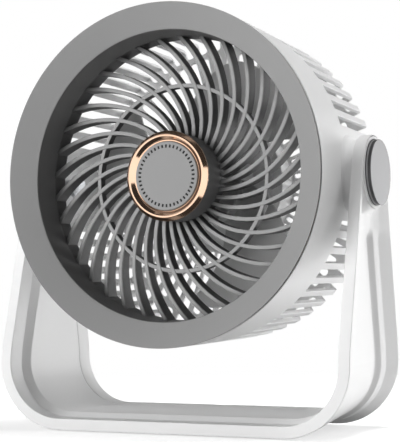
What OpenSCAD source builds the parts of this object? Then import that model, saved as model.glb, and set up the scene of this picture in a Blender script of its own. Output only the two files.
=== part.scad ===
// Rechargeable table fan: a round head that tilts between the arms of a U-shaped stand.
// Millimetres, +Z up, the front faces -Y, the origin is on the ground under the tilt axis.

/* [Head] */
// Outer radius of the head at its front ring
head_r = 100; // [98:1:112]
// How far the head stands in front of the tilt axis, and the rear cover behind it
head_reach = 58.7; // [54:0.1:64]
// Width of the grey front ring
bezel_w = 14.6; // [13.6:0.2:15.6]
// How deep the front ring slopes in to the grille
bezel_drop = 8; // [6:0.5:9]
// Thickness of the drum's wall
wall = 2.5; // [2.2:0.1:2.8]
// How much smaller the drum's radius is at the rear
drum_taper = 2; // [1:0.5:3]

/* [Rear slots] */
// Slots round the drum and round its rear face
slot_count = 60; // [54:2:62]
// Width of a side slot
slot_w = 5.8; // [5:0.1:6]
// Where the side slots start, in front of the tilt axis
slot_start = 10.5; // [4:0.5:14]
// Length of a battery cell in the round compartment in the rear
cell_l = 65; // [60:1:70]
// How far the compartment's wall stands clear of the cells' ends
cell_margin = 10.5; // [10.5:0.1:12]

/* [Front grille] */
// Number of vanes
vane_count = 37; // [31:1:39]
// Width of a vane
vane_w = 2.4; // [2:0.1:2.6]
// Depth of a vane
vane_depth = 8; // [6:0.5:9]
// Sweep of a vane, in degrees for each millimetre of radius
vane_sweep = 0.65; // [0.3:0.01:0.8]
// Radius of the grille's hub
grille_hub_r = 26; // [25:0.5:28]
// Radius of the ring half way along the vanes
mid_ring_r = 55.55; // [48:0.5:62]

/* [Impeller] */
// Number of blades
blade_count = 3; // [3:1:4]
// Radius at the blades' tips
blade_r = 78; // [72:1:80]
// Part of the circle that each blade covers at its tip, in degrees
blade_span = 62; // [50:1:70]
// How far the blades lean forward in the direction of rotation, in degrees
blade_lean = 45; // [20:1:50]

/* [Stand] */
// Thickness of the stand's band, seen from the front
band_t = 6.8; // [6.4:0.1:7.6]
// Gap between the side of the head and the arm
arm_gap = 5.1; // [4.9:0.1:6]
// Clear height between the foot and the head
foot_clear = 39.9; // [30:0.1:60]
// How far the foot reaches to the front of the tilt axis
foot_front = 50.9; // [48:0.1:56]
// How far the foot reaches to the rear of the tilt axis
foot_rear = 40.8; // [40:0.1:48]
// Radius of the band's lower outside corners
corner_r = 40; // [36:1:44]
// Radius of the rounded top of each arm
arm_top_r = 22; // [21.5:0.5:24]
// Depth of the channel in the band's outer side
channel_d = 2.4; // [1.6:0.1:2.6]
// How far the inner cover stands up from the band
cover_t = 2.6; // [2.4:0.1:3]

/* [Pivots] */
// Radius of the pivot caps
cap_r = 19; // [17:0.5:19.5]
// How far a cap stands out from its arm
cap_h = 3.65; // [3:0.05:5]
// Radius of the pivot posts
post_r = 5; // [4:0.5:6]
// Clearance round a post in its arm
post_fit = 0.05; // [0.03:0.01:0.08]

/* [Controls] */
// Radius of the push button
button_r = 6; // [5:0.5:7]
// Travel of the push button
button_travel = 0.6; // [0.3:0.1:0.6]
// Clearance round the push button
button_fit = 0.08; // [0.05:0.01:0.1]

/* [Hidden] */
$fn = 64;
eps = 0.01;

// The band's underside stands this far above the ground, on the rubber feet.
foot_lift = 0.8;
foot_top = foot_lift + band_t + cover_t;
pivot_z = foot_top + foot_clear + head_r;
arm_in = head_r + arm_gap;
arm_out = arm_in + band_t;
inner_z = foot_lift + band_t;
inner_corner_r = corner_r - band_t;
// Above this height the arms narrow towards the pivots.
knee_z = 45;
channel_front = 5;
channel_rear = 28.8;
cover_front = 15.5;
cover_rear = 13.6;
cover_top = pivot_z - arm_top_r - 8;
channel_top = pivot_z - arm_top_r - 14;

// The head's parts are placed by their distance in front of the tilt axis.
seam_front = head_reach - 5.7;
seam_rear = seam_front - 2;
bezel_in_r = head_r - bezel_w;
bezel_in = head_reach - bezel_drop;
bezel_slope = bezel_drop / bezel_w;
bezel_t = 2.4;
duct_front = bezel_in - 4.7;
vane_front = duct_front - 18.5;
vane_edge = vane_front + 3.5;
vane_back = vane_front - vane_depth;
duct_r = bezel_in_r;
duct_out_r = duct_r + 1.8;
spigot_end = seam_rear - 9;
boss_r = bezel_in_r + 5.6;
drum_rear = head_reach - 8.7;
drum_rear_r = head_r - drum_taper;
hub_cup_r = cell_l / 2 + cell_margin;
slot_end_r = head_r - 10;
ring_slot_r = head_r - 13.5;
pivot_boss_r = cap_r + 0.5;
slot_skip = asin(pivot_boss_r / head_r) + 0.57 * 360 / slot_count;

// Distances behind the tilt axis, from the impeller to the rear cover.
cup_front = drum_rear - 21;
cup_in = cup_front + 2;
base_front = cup_front - 2.2;
can_rear = cup_front - 4;
can_front = cup_front - 20.5;
stator_y = can_front + 5.5;
bearing_y = can_front + 14;
cell_r = 9.15;
cell_y = cup_in + cell_r + 0.75;
cell_z = cell_r + 0.25;
board_y = cell_y + cell_r + 0.75;
board_back = board_y + 1.4;
cover_in = head_reach - 1.8;
can_r = 18.4;
hub_r = 25;
shaft_r = 1.5;
base_r = 19;
// The rear cover's four screws stand just inside the compartment's wall.
cover_boss_x = (hub_cup_r - 7.223) * cos(63.435);
cover_boss_z = (hub_cup_r - 7.223) * sin(63.435);
board_w = 44;
board_h = 2 * (cover_boss_z - 4);
tray_screw_y = cell_z + 13.6;

// The steel plate lies in a well in the foot, clear of the band's corners.
ballast_half = arm_out - corner_r - 15.9;
ballast_front = foot_front - 19.9;
ballast_rear = foot_rear - 17.8;
ballast_t = 3.2;
pad_x = ballast_half - 11;
pad_l = 40;
pad_w = 10;
pad_front = foot_front - 6.9;
pad_rear = foot_rear - 16.8;

// Puts a shape drawn face on in its place in the head: its own +Z comes to the front.
module face_on() {
  translate([0, 0, pivot_z]) rotate([90, 0, 0]) children();
}

// The same for a shape whose own +Z goes to the rear; its own +Y then points up.
module rear_on() {
  translate([0, 0, pivot_z]) mirror([0, 1, 0]) rotate([90, 0, 0]) children();
}

// Turns a shape drawn upright so that its own +Z points away from the head on one side.
module side_on(side) {
  translate([0, 0, pivot_z]) rotate([0, side * 90, 0]) children();
}

// A flat ring.
module ring(r_out, r_in, h) {
  difference() {
    cylinder(r = r_out, h = h);
    translate([0, 0, -1]) cylinder(r = r_in, h = h + 2);
  }
}

// A pan head screw: the head rises from z = 0 and the shank goes down.
module screw(head_radius, head_h, shank_r, shank_l) {
  difference() {
    cylinder(r = head_radius, h = head_h, $fn = 32);
    for (a = [0, 90]) rotate(a) translate([-head_radius * 0.6, -0.3, head_h * 0.5])
      cube([head_radius * 1.2, 0.6, head_h]);
  }
  translate([0, 0, -shank_l]) cylinder(r = shank_r, h = shank_l + eps, $fn = 32);
}

// The area inside a U's outline, from its flat bottom up to a given height.
module u_fill(half, bottom, r, top) {
  translate([-half, bottom + r]) square([2 * half, top - bottom - r]);
  translate([r - half, bottom]) square([2 * (half - r), r + eps]);
  for (s = [-1, 1]) translate([s * (half - r), bottom + r]) circle(r, $fn = 96);
}

// A layer of the U between two depths, measured inwards from the band's outer side.
module u_layer(from, to) {
  translate([0, 2 * foot_front, 0]) rotate([90, 0, 0]) linear_extrude(4 * foot_front) difference() {
    u_fill(arm_out - from, foot_lift + from, corner_r - from, pivot_z + 40);
    u_fill(arm_out - to, foot_lift + to, corner_r - to, pivot_z + 41);
  }
}

// The edges of an arm at a height, seen from the side.
function knee_part(z) = min(1, (pivot_z - z) / (pivot_z - knee_z));
function edge_y(z, foot) = foot + (1 - knee_part(z)) * (tangent_y(foot) - foot);
function tangent_y(foot) = let(a = tangent_slope(foot)) arm_top_r / cos(a);
function tangent_slope(foot) = let(
    d = norm([foot, pivot_z - knee_z]), b = atan2(foot, pivot_z - knee_z)
  ) b - asin(arm_top_r / d);
function front_y(z) = -edge_y(z, foot_front);
function rear_y(z) = edge_y(z, foot_rear);

// The arm's outline seen from the side, with its rounded top.
module side_outline() {
  af = tangent_slope(foot_front);
  ar = tangent_slope(foot_rear);
  polygon([
    [-arm_top_r * cos(af), pivot_z + arm_top_r * sin(af)],
    [-foot_front, knee_z], [-foot_front, -1], [foot_rear, -1], [foot_rear, knee_z],
    [arm_top_r * cos(ar), pivot_z + arm_top_r * sin(ar)]
  ]);
  translate([0, pivot_z]) circle(arm_top_r, $fn = 96);
}

// A strip that follows the arm's edges down and through the foot, seen from the side.
module side_strip(front_in, rear_in, top) {
  polygon([
    [front_y(top) + front_in, top], [-foot_front + front_in, knee_z],
    [-foot_front + front_in, -1], [foot_rear - rear_in, -1],
    [foot_rear - rear_in, knee_z], [rear_y(top) - rear_in, top]
  ]);
}

// Extrudes an outline drawn from the side across the whole stand.
module across() {
  translate([-2 * arm_out, 0, 0]) rotate([90, 0, 90]) linear_extrude(4 * arm_out) children();
}

module stand_screw_places() {
  for (s = [-1, 1], y = [30.9 - foot_front, foot_rear - 26.8])
    translate([s * (ballast_half + 6), y, 0]) children();
}

module stand_frame() {
  color("white") difference() {
    union() {
      intersection() {
        u_layer(0, band_t);
        across() side_outline();
      }
      intersection() {
        u_layer(band_t - eps, band_t + cover_t);
        across() polygon([
          [rear_y(cover_top) - cover_rear + 0.2, cover_top], [foot_rear - cover_rear + 0.2, knee_z],
          [foot_rear - cover_rear + 0.2, -1], [foot_rear, -1], [foot_rear, knee_z],
          [rear_y(cover_top), cover_top]
        ]);
      }
      for (s = [-1, 1]) side_on(s) translate([0, 0, arm_out - eps])
        ring(cap_r + 2, cap_r + 0.3, 0.4);
    }
    intersection() {
      u_layer(-1, channel_d);
      across() side_strip(channel_front, channel_rear, channel_top);
    }
    translate([-ballast_half - 0.2, -ballast_front - 0.2, inner_z - ballast_t])
      cube([2 * ballast_half + 0.4, ballast_front + ballast_rear + 0.4, 20]);
    for (s = [-1, 1]) side_on(s) {
      cylinder(r = post_r + post_fit, h = arm_out + 5);
      translate([0, 0, arm_in + 3.5]) cylinder(r = 15, h = 10);
    }
    stand_screw_places() {
      translate([0, 0, inner_z - 2.2]) cylinder(r = 3.1, h = 10);
      translate([0, 0, -1]) cylinder(r = 1.5, h = 20);
      translate([0, 0, -1]) cylinder(r = 3, h = 1 + foot_lift + channel_d + 1.2);
    }
    for (s = [-1, 1]) translate([s * pad_x - pad_l / 2 - 0.3, pad_rear - 0.3, -1])
      cube([pad_l + 0.6, pad_w + 0.6, 1 + foot_lift + 1.2]);
    translate([-9.5, foot_rear - 2, foot_top - 0.9]) cube([11, 4, 2]);
  }
}

module stand_inner_cover() {
  color("white") difference() {
    union() {
      intersection() {
        u_layer(band_t, band_t + cover_t);
        across() side_strip(cover_front, cover_rear, cover_top);
      }
      stand_screw_places() translate([0, 0, inner_z - 2.2]) cylinder(r = 3, h = 2.2 + eps);
    }
    stand_screw_places() translate([0, 0, inner_z - 3]) cylinder(r = 1.25, h = 4.8);
  }
}

module ballast_plate() {
  color("silver") translate([-ballast_half, -ballast_front, inner_z - ballast_t])
    cube([2 * ballast_half, ballast_front + ballast_rear, ballast_t]);
}

module stand_screws() {
  color("silver") stand_screw_places()
    translate([0, 0, foot_lift + channel_d + 1.2]) rotate([180, 0, 0])
      screw(2.8, 1.2, 1.25, inner_z + 1.8 - foot_lift - channel_d - 1.2);
}

module rubber_feet() {
  color("dimgray") for (s = [-1, 1]) {
    translate([s * pad_x - pad_l / 2, -pad_front, 0]) cube([pad_l, pad_w, foot_lift + channel_d]);
    translate([s * pad_x - pad_l / 2, pad_rear, 0]) cube([pad_l, pad_w, foot_lift + 1.2]);
  }
}

module pivot_cap(side) {
  side_on(side) difference() {
    union() {
      translate([0, 0, arm_out]) cylinder(r = cap_r, h = cap_h - 0.5);
      translate([0, 0, arm_out + cap_h - 0.5]) cylinder(r1 = cap_r, r2 = cap_r - 0.5, h = 0.5);
      translate([0, 0, arm_in + 4.3]) cylinder(r = 14.8, h = 3);
    }
    translate([0, 0, arm_in]) cylinder(r = 12.6, h = band_t + cap_h - 1.8);
  }
}

module pivot_cap_left() { color("silver") pivot_cap(-1); }

module pivot_cap_right() { color("silver") pivot_cap(1); }

// The radius of the drum's outside at a distance in front of the tilt axis.
function drum_r(z) = drum_rear_r + drum_taper * (z + drum_rear) / (seam_rear + drum_rear);

module drum_body() {
  w = wall;
  rotate_extrude($fn = 120) polygon([
    [drum_r(seam_rear), seam_rear], [drum_r(3 - drum_rear), 3 - drum_rear],
    [drum_rear_r - 2.6, -drum_rear], [hub_cup_r - 2.2, -drum_rear],
    [hub_cup_r - 2.2, -cup_in], [0, -cup_in], [0, -cup_front], [hub_cup_r, -cup_front],
    [hub_cup_r, w - drum_rear], [drum_rear_r - 3.4, w - drum_rear],
    [drum_r(4 - drum_rear) - w, 4 - drum_rear], [drum_r(spigot_end - 3) - w, spigot_end - 3],
    [drum_r(spigot_end) - w - 2.2, spigot_end - 1], [drum_r(spigot_end) - w - 2.2, spigot_end],
    [drum_r(spigot_end) - w, spigot_end], [drum_r(seam_rear) - w, seam_rear]
  ]);
}

// One side slot: it runs from the drum's side over the rear corner on to the rear face.
module side_slot() {
  translate([0, 0, -drum_rear - 1]) linear_extrude(drum_rear + 1 + slot_start) {
    translate([slot_end_r + 2, -slot_w / 2]) square([20, slot_w]);
    translate([slot_end_r + 2, 0]) scale([0.7, 1]) circle(slot_w / 2, $fn = 12);
  }
}

// One slot of the rear face, a wedge that narrows to the middle.
module ring_slot() {
  a = 0.29 * 360 / slot_count;
  r0 = hub_cup_r + 0.8;
  r1 = ring_slot_r;
  translate([0, 0, -drum_rear - 1]) linear_extrude(wall + 2) polygon([
    [r0, -r0 * sin(a) * 0.5], [r0 + 0.7, -r0 * sin(a)], [r1 - 1.8, -r1 * sin(a)],
    [r1 - 0.4, -r1 * sin(a) * 0.6], [r1, 0], [r1 - 0.4, r1 * sin(a) * 0.6],
    [r1 - 1.8, r1 * sin(a)], [r0 + 0.7, r0 * sin(a)], [r0, r0 * sin(a) * 0.5]
  ]);
}

module cover_screw_places() {
  for (x = [-1, 1], y = [-1, 1]) translate([x * cover_boss_x, y * cover_boss_z]) children();
}

module tray_screw_places() {
  for (s = [-1, 1]) translate([s * 9, -s * tray_screw_y]) children();
}

module motor_screw_places() {
  for (a = [90, 210, 330]) rotate(a) translate([12, 0]) children();
}

module rear_shell() {
  step = 360 / slot_count;
  color("white") difference() {
    union() {
      face_on() difference() {
        drum_body();
        for (i = [0:slot_count - 1]) rotate(i * step) {
          if (abs(sin(i * step)) > sin(slot_skip)) side_slot();
          ring_slot();
        }
      }
      for (s = [-1, 1]) side_on(s) {
        translate([0, 0, head_r - 4.2])
          cylinder(r = pivot_boss_r, h = arm_gap + 3.6);
        translate([0, 0, head_r - 12]) cylinder(r = post_r + 4, h = 9);
      }
      rear_on() cover_screw_places() translate([0, 0, cup_in - eps])
        cylinder(r = 3.4, h = drum_rear - cup_in + eps);
    }
    for (s = [-1, 1]) side_on(s) translate([0, 0, head_r - 13]) cylinder(r = post_r, h = 30);
    rear_on() {
      cover_screw_places() translate([0, 0, drum_rear - 9]) cylinder(r = 1.25, h = 12);
      tray_screw_places() translate([0, 0, cup_front - 1]) cylinder(r = 1, h = 4);
      motor_screw_places() translate([0, 0, cup_front - 1]) cylinder(r = 1, h = 4);
      translate([-4.2, -24.6, cup_front - 1]) cube([8.4, 2, 4]);
    }
  }
}

module front_bezel() {
  back = head_reach - bezel_t;
  ri = duct_out_r;
  ro = drum_r(spigot_end) - wall;
  color("darkgray") face_on() difference() {
    union() {
      rotate_extrude($fn = 120) polygon([
        [head_r, head_reach], [bezel_in_r, bezel_in], [bezel_in_r, duct_front],
        [ri, duct_front], [ri, back - bezel_slope * (head_r - ri)],
        [ro - 2.4, back - bezel_slope * (head_r - ro + 2.4)], [ro - 2.4, spigot_end],
        [ro - 0.1, spigot_end], [ro - 0.1, seam_front], [head_r, seam_front]
      ]);
      for (a = [30:60:330]) rotate(a) translate([boss_r, 0, duct_front])
        cylinder(r = 3, h = back - duct_front - bezel_slope * bezel_w / 2);
    }
    for (a = [30:60:330]) rotate(a) translate([boss_r, 0, duct_front - 1])
      cylinder(r = 1.25, h = 5.6);
  }
}

module front_duct() {
  color("dimgray") face_on() difference() {
    rotate_extrude($fn = 120) polygon([
      [duct_r, duct_front], [duct_r - 0.5, vane_edge], [duct_out_r, vane_edge],
      [duct_out_r, duct_front - 2], [boss_r + 3, duct_front - 2], [boss_r + 3, duct_front]
    ]);
    for (a = [30:60:330]) rotate(a) translate([boss_r, 0, duct_front - 3])
      cylinder(r = 1.5, h = 5);
  }
}

// The middle of a vane at a radius, and the direction square to it: an even spiral.
function vane_angle(r) = vane_sweep * (r - grille_hub_r) + 1.9;
function vane_mid(r) = r * [cos(vane_angle(r)), sin(vane_angle(r))];
function vane_side(r) = let(
    k = r * vane_sweep * PI / 180, a = vane_angle(r),
    t = [cos(a) - k * sin(a), sin(a) + k * cos(a)]
  ) [-t.y, t.x] / norm(t);

module vane() {
  r0 = grille_hub_r - 0.6;
  r1 = duct_r + 0.3;
  steps = 8;
  radii = [for (i = [0:steps]) r0 + (r1 - r0) * i / steps];
  polygon(concat(
    [for (r = radii) vane_mid(r) + vane_side(r) * vane_w / 2],
    [for (i = [steps:-1:0]) vane_mid(radii[i]) - vane_side(radii[i]) * vane_w / 2]
  ));
}

module front_grille() {
  rm = mid_ring_r;
  color("darkgray") face_on() {
    intersection() {
      translate([0, 0, vane_back]) linear_extrude(30)
        for (i = [0:vane_count - 1]) rotate(i * 360 / vane_count) vane();
      rotate_extrude($fn = 120) polygon([
        [0, vane_back], [duct_r + 1, vane_back], [duct_r + 1, vane_edge],
        [duct_r - 1.4, vane_edge], [rm, vane_front], [0, vane_front]
      ]);
    }
    rotate_extrude($fn = 120) polygon([
      [duct_r - 0.5, vane_edge], [duct_r - 0.8, vane_back],
      [duct_out_r, vane_back], [duct_out_r, vane_edge]
    ]);
    translate([0, 0, vane_front - 6]) ring(rm + vane_w / 2, rm - vane_w / 2, 5.6, $fn = 120);
    translate([0, 0, vane_back])
      ring(grille_hub_r, grille_hub_r - 2.4, vane_depth);
  }
}

module grille_hub() {
  h = head_reach - 14.2 - vane_front;
  color("dimgray") face_on() translate([0, 0, vane_front]) difference() {
    cylinder(r = grille_hub_r, h = h);
    translate([0, 0, -1]) cylinder(r = grille_hub_r - 2.4, h = h - 1);
  }
}

module trim_ring() {
  w = grille_hub_r + 0.6;
  z = head_reach - 14.2;
  ri = grille_hub_r - 5.6;
  color("rosybrown") face_on() rotate_extrude($fn = 96) polygon([
    [ri, z], [w, z], [w, z + 1.2], [w - 0.8, z + 2],
    [ri + 3, z + 2.2], [ri + 1.6, z + 1.6], [ri, z + 1.6]
  ]);
}

module badge_disc() {
  z = head_reach - 14.2;
  color("gray") face_on() translate([0, 0, z]) {
    cylinder(r = grille_hub_r - 5.8, h = 3.4);
    translate([0, 0, 3.4 - eps]) cylinder(r1 = grille_hub_r - 5.8, r2 = grille_hub_r - 6.1, h = 0.3);
  }
}

// A post is pressed in its boss from inside the drum, up to its flange.
module pivot_post(side) {
  side_on(side) difference() {
    union() {
      translate([0, 0, head_r - 14]) cylinder(r = post_r + 3, h = 2);
      translate([0, 0, head_r - 13]) cylinder(r = post_r, h = arm_gap + 17.3);
    }
    translate([0, 0, head_r - 2]) cylinder(r = 2, h = 20);
  }
}

module pivot_post_left() { color("silver") pivot_post(-1); }

module pivot_post_right() { color("silver") pivot_post(1); }

module friction_washers() {
  color("gainsboro") for (s = [-1, 1]) side_on(s) translate([0, 0, arm_in - 0.6])
    ring(cap_r - 1, post_r + 0.1, 0.6);
}

module wave_washers() {
  color("silver") for (s = [-1, 1]) side_on(s) translate([0, 0, arm_in + 3.5])
    ring(10, post_r + 0.2, 0.8);
}

module retaining_washers() {
  color("silver") for (s = [-1, 1]) side_on(s) translate([0, 0, arm_in + 4.3])
    ring(10, 2, 1.2);
}

module pivot_screws() {
  color("silver") for (s = [-1, 1]) side_on(s) translate([0, 0, arm_in + 5.5])
    screw(4, 2, 2, 12);
}

module bezel_screws() {
  color("silver") face_on() for (a = [30:60:330]) rotate(a)
    translate([boss_r, 0, duct_front - 2]) rotate([180, 0, 0]) screw(2.6, 1.4, 1.25, 6.6);
}

// The motor's fixed half: a base plate with the tube that holds both bearings.
module motor_base() {
  color("silver") rear_on() difference() {
    union() {
      translate([0, 0, base_front]) cylinder(r = base_r, h = cup_front - base_front);
      translate([0, 0, can_front + 2.1]) cylinder(r = 5.2, h = cup_front - can_front - 2.1);
    }
    translate([0, 0, can_front]) cylinder(r = 4, h = 6.1);
    translate([0, 0, can_front]) cylinder(r = 3.2, h = 30);
    translate([0, 0, bearing_y]) cylinder(r = 4, h = 10);
    motor_screw_places() translate([0, 0, base_front - 1]) cylinder(r = 1, h = 5);
  }
}

module motor_bearings() {
  color("silver") rear_on() for (y = [can_front + 2.1, bearing_y]) translate([0, 0, y])
    ring(4, shaft_r + 0.05, 4);
}

module stator_slots() {
  for (i = [0:8]) rotate(i * 40) {
    polygon([[8.2, 1.2], [13.2, 3.2], [13.2, -3.2], [8.2, -1.2]]);
    translate([12, -0.6]) square([5, 1.2]);
  }
}

module stator_core() {
  color("gray") rear_on() translate([0, 0, stator_y]) linear_extrude(5.5) difference() {
    circle(15);
    circle(5.2);
    stator_slots();
  }
}

// Nine coils, each wound round one tooth of the core and standing out before and behind it.
module stator_coils() {
  color("chocolate") rear_on() for (i = [0:8]) rotate(i * 40 + 20) {
    for (y = [-1.6, 5.5]) translate([8.8, -2.4, stator_y + y]) cube([4, 4.8, 1.6]);
    for (s = [-1, 1]) translate([8.8, s * 1.9 - 0.5, stator_y - 0.1]) cube([2.2, 1, 5.7]);
  }
}

module motor_screws() {
  color("silver") rear_on() motor_screw_places() translate([0, 0, base_front])
    rotate([180, 0, 0]) screw(1.9, 1.4, 1, cup_in - base_front);
}

// Three leads from the motor's base through the wall to the board.
module motor_leads() {
  color("black") rear_on() for (x = [-2.6, 0, 2.6]) {
    translate([x, -23.6, base_front + 1.1])
      cylinder(r = 0.65, h = board_y - base_front - 1.1, $fn = 12);
    translate([x, -24.2, base_front + 1.1]) rotate([-90, 0, 0])
      cylinder(r = 0.65, h = 24.2 - sqrt(base_r * base_r - x * x), $fn = 12);
  }
}

module battery_cells() {
  color("steelblue") rear_on() for (s = [-1, 1]) translate([-cell_l / 2, s * cell_z, cell_y])
    rotate([0, 90, 0]) cylinder(r = cell_r, h = cell_l);
}

// The tray holds both cells by their ends and carries the board on its middle ridge.
module battery_tray() {
  l = cell_l / 2;
  w = cell_z + 10;
  color("dimgray") rear_on() difference() {
    union() {
      translate([-l - 2.1, -w, cup_in]) cube([2 * l + 4.2, 2 * w, 6]);
      for (s = [-1, 1]) translate([s * (l + 1.05) - 1.05, -w, cup_in])
        cube([2.1, 2 * w, board_y - cup_in]);
      translate([-l - 1, -1.8, board_y - 4.4]) cube([2 * l + 2, 3.6, 4.4]);
      tray_screw_places() translate([0, 0, cup_in]) cylinder(r = 3.6, h = 2.5);
      for (s = [-1, 1]) translate([s * 9 - 3.6, -s * (w + 1.6) - 2, cup_in]) cube([7.2, 4, 2.5]);
    }
    for (s = [-1, 1]) translate([-l, s * cell_z, cell_y])
      rotate([0, 90, 0]) cylinder(r = cell_r + 0.1, h = cell_l);
    tray_screw_places() {
      translate([0, 0, cup_in - 1]) cylinder(r = 1.1, h = 10);
      translate([0, 0, cup_in + 2.5]) cylinder(r = 2.6, h = 10);
    }
    board_screw_places() translate([0, 0, board_y - 4]) cylinder(r = 0.8, h = 10);
  }
}

module tray_screws() {
  color("silver") rear_on() tray_screw_places() translate([0, 0, cup_in + 2.5])
    screw(2, 1.4, 1, cup_in + 2.5 - cup_front);
}

module battery_leads() {
  color("red") rear_on() for (y = [-6, 6]) translate([-cell_l / 2 - 1, y, board_y + 0.65])
    rotate([0, 90, 0]) cylinder(r = 0.65, h = cell_l / 2 + 1 - board_w / 2, $fn = 12);
}

module board_screw_places() {
  for (s = [-1, 1]) translate([s * (board_w / 2 - 3), 0, 0]) children();
}

module control_board() {
  color("darkgreen") rear_on() difference() {
    translate([-board_w / 2, -board_h / 2, board_y]) cube([board_w, board_h, 1.4]);
    board_screw_places() translate([0, 0, board_y - 1]) cylinder(r = 1, h = 4);
  }
}

module board_screws() {
  color("silver") rear_on() board_screw_places() translate([0, 0, board_back])
    screw(1.8, 1.2, 0.8, 5.2);
}

module tact_switch() {
  color("black") rear_on() difference() {
    translate([-3, -3, board_back]) cube([6, 6, 1.6]);
    translate([0, 0, board_back - 1]) cylinder(r = 1.8, h = 5);
  }
}

// A rounded slot shape, such as the mouth of the charging socket.
module stadium(w, h) {
  square([w - h, h], center = true);
  for (s = [-1, 1]) translate([s * (w - h) / 2, 0]) circle(h / 2, $fn = 32);
}

usb_y = -20;
led_x = [-7.5, -2.5, 2.5, 7.5];
led_y = 14;

module usb_socket() {
  color("silver") rear_on() translate([0, usb_y, board_back]) {
    linear_extrude(head_reach - 0.2 - board_back) difference() {
      stadium(9, 3.3);
      stadium(8.2, 2.5);
    }
    linear_extrude(0.7) stadium(9, 3.3);
    translate([-3.3, -0.35, 0]) cube([6.6, 0.7, 5]);
  }
}

module indicator_lights() {
  color("lightcyan") rear_on() for (x = led_x) translate([x, led_y, board_back])
    cylinder(r = 1.2, h = head_reach - 0.2 - board_back, $fn = 24);
}

module rear_hub_cover() {
  h = head_reach - drum_rear;
  color("gainsboro") rear_on() difference() {
    union() {
      difference() {
        union() {
          translate([0, 0, drum_rear]) cylinder(r = hub_cup_r, h = h - 1, $fn = 96);
          translate([0, 0, head_reach - 1])
            cylinder(r1 = hub_cup_r, r2 = hub_cup_r - 1, h = 1, $fn = 96);
        }
        translate([0, 0, drum_rear - 1]) cylinder(r = hub_cup_r - 2.2, h = h - 0.8, $fn = 96);
      }
      cover_screw_places() translate([0, 0, drum_rear]) cylinder(r = 3.4, h = h - 1);
    }
    cover_screw_places() {
      translate([0, 0, drum_rear - 1]) cylinder(r = 1.4, h = 20);
      translate([0, 0, cover_in]) cylinder(r = 2.7, h = 10);
    }
    translate([0, 0, drum_rear]) cylinder(r = button_r + button_fit, h = 20);
    translate([0, usb_y, drum_rear]) linear_extrude(20) stadium(9.4, 3.7);
    for (x = led_x) translate([x, led_y, drum_rear]) cylinder(r = 1.35, h = 20, $fn = 24);
  }
}

module cover_screws() {
  color("silver") rear_on() cover_screw_places() translate([0, 0, cover_in])
    screw(2.5, 1.6, 1.25, cover_in - drum_rear + 8);
}

// The blade's edges as angles at a radius: the root is behind the tip, against the rotation.
function tip_part(r) = (r - hub_r) / (blade_r - hub_r);
function trail_angle(r) = 76 + blade_lean * (1 - tip_part(r));
function lead_angle(r) = trail_angle(r) - blade_span - 14 * (1 - tip_part(r));

// One blade: a sheet that climbs evenly from the rear to the front between its two edges.
module blade() {
  na = 8;
  nr = 5;
  t = 1.9;
  y_rear = can_front + 16.5;
  y_front = can_front - 2.5;
  pts = [
    for (k = [0, 1], j = [0:nr], i = [0:na])
      let(
        r = hub_r - 1 + (blade_r - hub_r + 1) * j / nr,
        a = lead_angle(r) + (trail_angle(r) - lead_angle(r)) * i / na,
        z = -y_rear + (y_rear - y_front - t) * i / na + k * t
      ) [r * cos(a), r * sin(a), z]
  ];
  m = (na + 1) * (nr + 1);
  function at(k, j, i) = k * m + j * (na + 1) + i;
  polyhedron(pts, concat(
    [for (j = [0:nr - 1], i = [0:na - 1]) each [
      [at(0, j, i), at(0, j + 1, i), at(0, j + 1, i + 1)],
      [at(0, j, i), at(0, j + 1, i + 1), at(0, j, i + 1)],
      [at(1, j, i), at(1, j + 1, i + 1), at(1, j + 1, i)],
      [at(1, j, i), at(1, j, i + 1), at(1, j + 1, i + 1)]
    ]],
    [for (i = [0:na - 1]) each [
      [at(0, 0, i), at(0, 0, i + 1), at(1, 0, i + 1)], [at(0, 0, i), at(1, 0, i + 1), at(1, 0, i)],
      [at(0, nr, i), at(1, nr, i + 1), at(0, nr, i + 1)], [at(0, nr, i), at(1, nr, i), at(1, nr, i + 1)]
    ]],
    [for (j = [0:nr - 1]) each [
      [at(0, j, 0), at(1, j + 1, 0), at(0, j + 1, 0)], [at(0, j, 0), at(1, j, 0), at(1, j + 1, 0)],
      [at(0, j, na), at(0, j + 1, na), at(1, j + 1, na)], [at(0, j, na), at(1, j + 1, na), at(1, j, na)]
    ]]
  ));
}

module impeller() {
  color("lightslategray") {
    face_on() for (i = [0:blade_count - 1]) rotate(i * 360 / blade_count) blade();
    rear_on() {
      translate([0, 0, can_front - 3]) ring(hub_r, shaft_r, 3);
      translate([0, 0, can_front - 3]) ring(hub_r, hub_r - 2.2, 20.8);
      translate([0, 0, can_front - 3]) ring(can_r + 1.6, can_r, 20.8);
    }
  }
}

module rotor_can() {
  color("dimgray") rear_on() {
    translate([0, 0, can_front]) ring(can_r, shaft_r, 1.2);
    translate([0, 0, can_front]) ring(can_r, can_r - 1, can_rear - can_front);
  }
}

module rotor_magnet() {
  color("black") rear_on() translate([0, 0, can_front + 3.5]) ring(can_r - 1, 15.5, 9.5);
}

module motor_shaft() {
  color("silver") rear_on() difference() {
    translate([0, 0, can_front - 7]) cylinder(r = shaft_r, h = 26.5);
    translate([0, 0, base_front - 0.2]) ring(3, shaft_r - 0.3, 0.6);
  }
}

module shaft_clip() {
  color("silver") rear_on() translate([0, 0, base_front - 0.2]) ring(2.8, shaft_r - 0.3, 0.6);
}

module impeller_nut() {
  color("silver") rear_on() translate([0, 0, can_front - 5.5]) difference() {
    cylinder(r = 3.2, h = 2.5, $fn = 6);
    translate([0, 0, -1]) cylinder(r = shaft_r, h = 5);
  }
}

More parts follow.
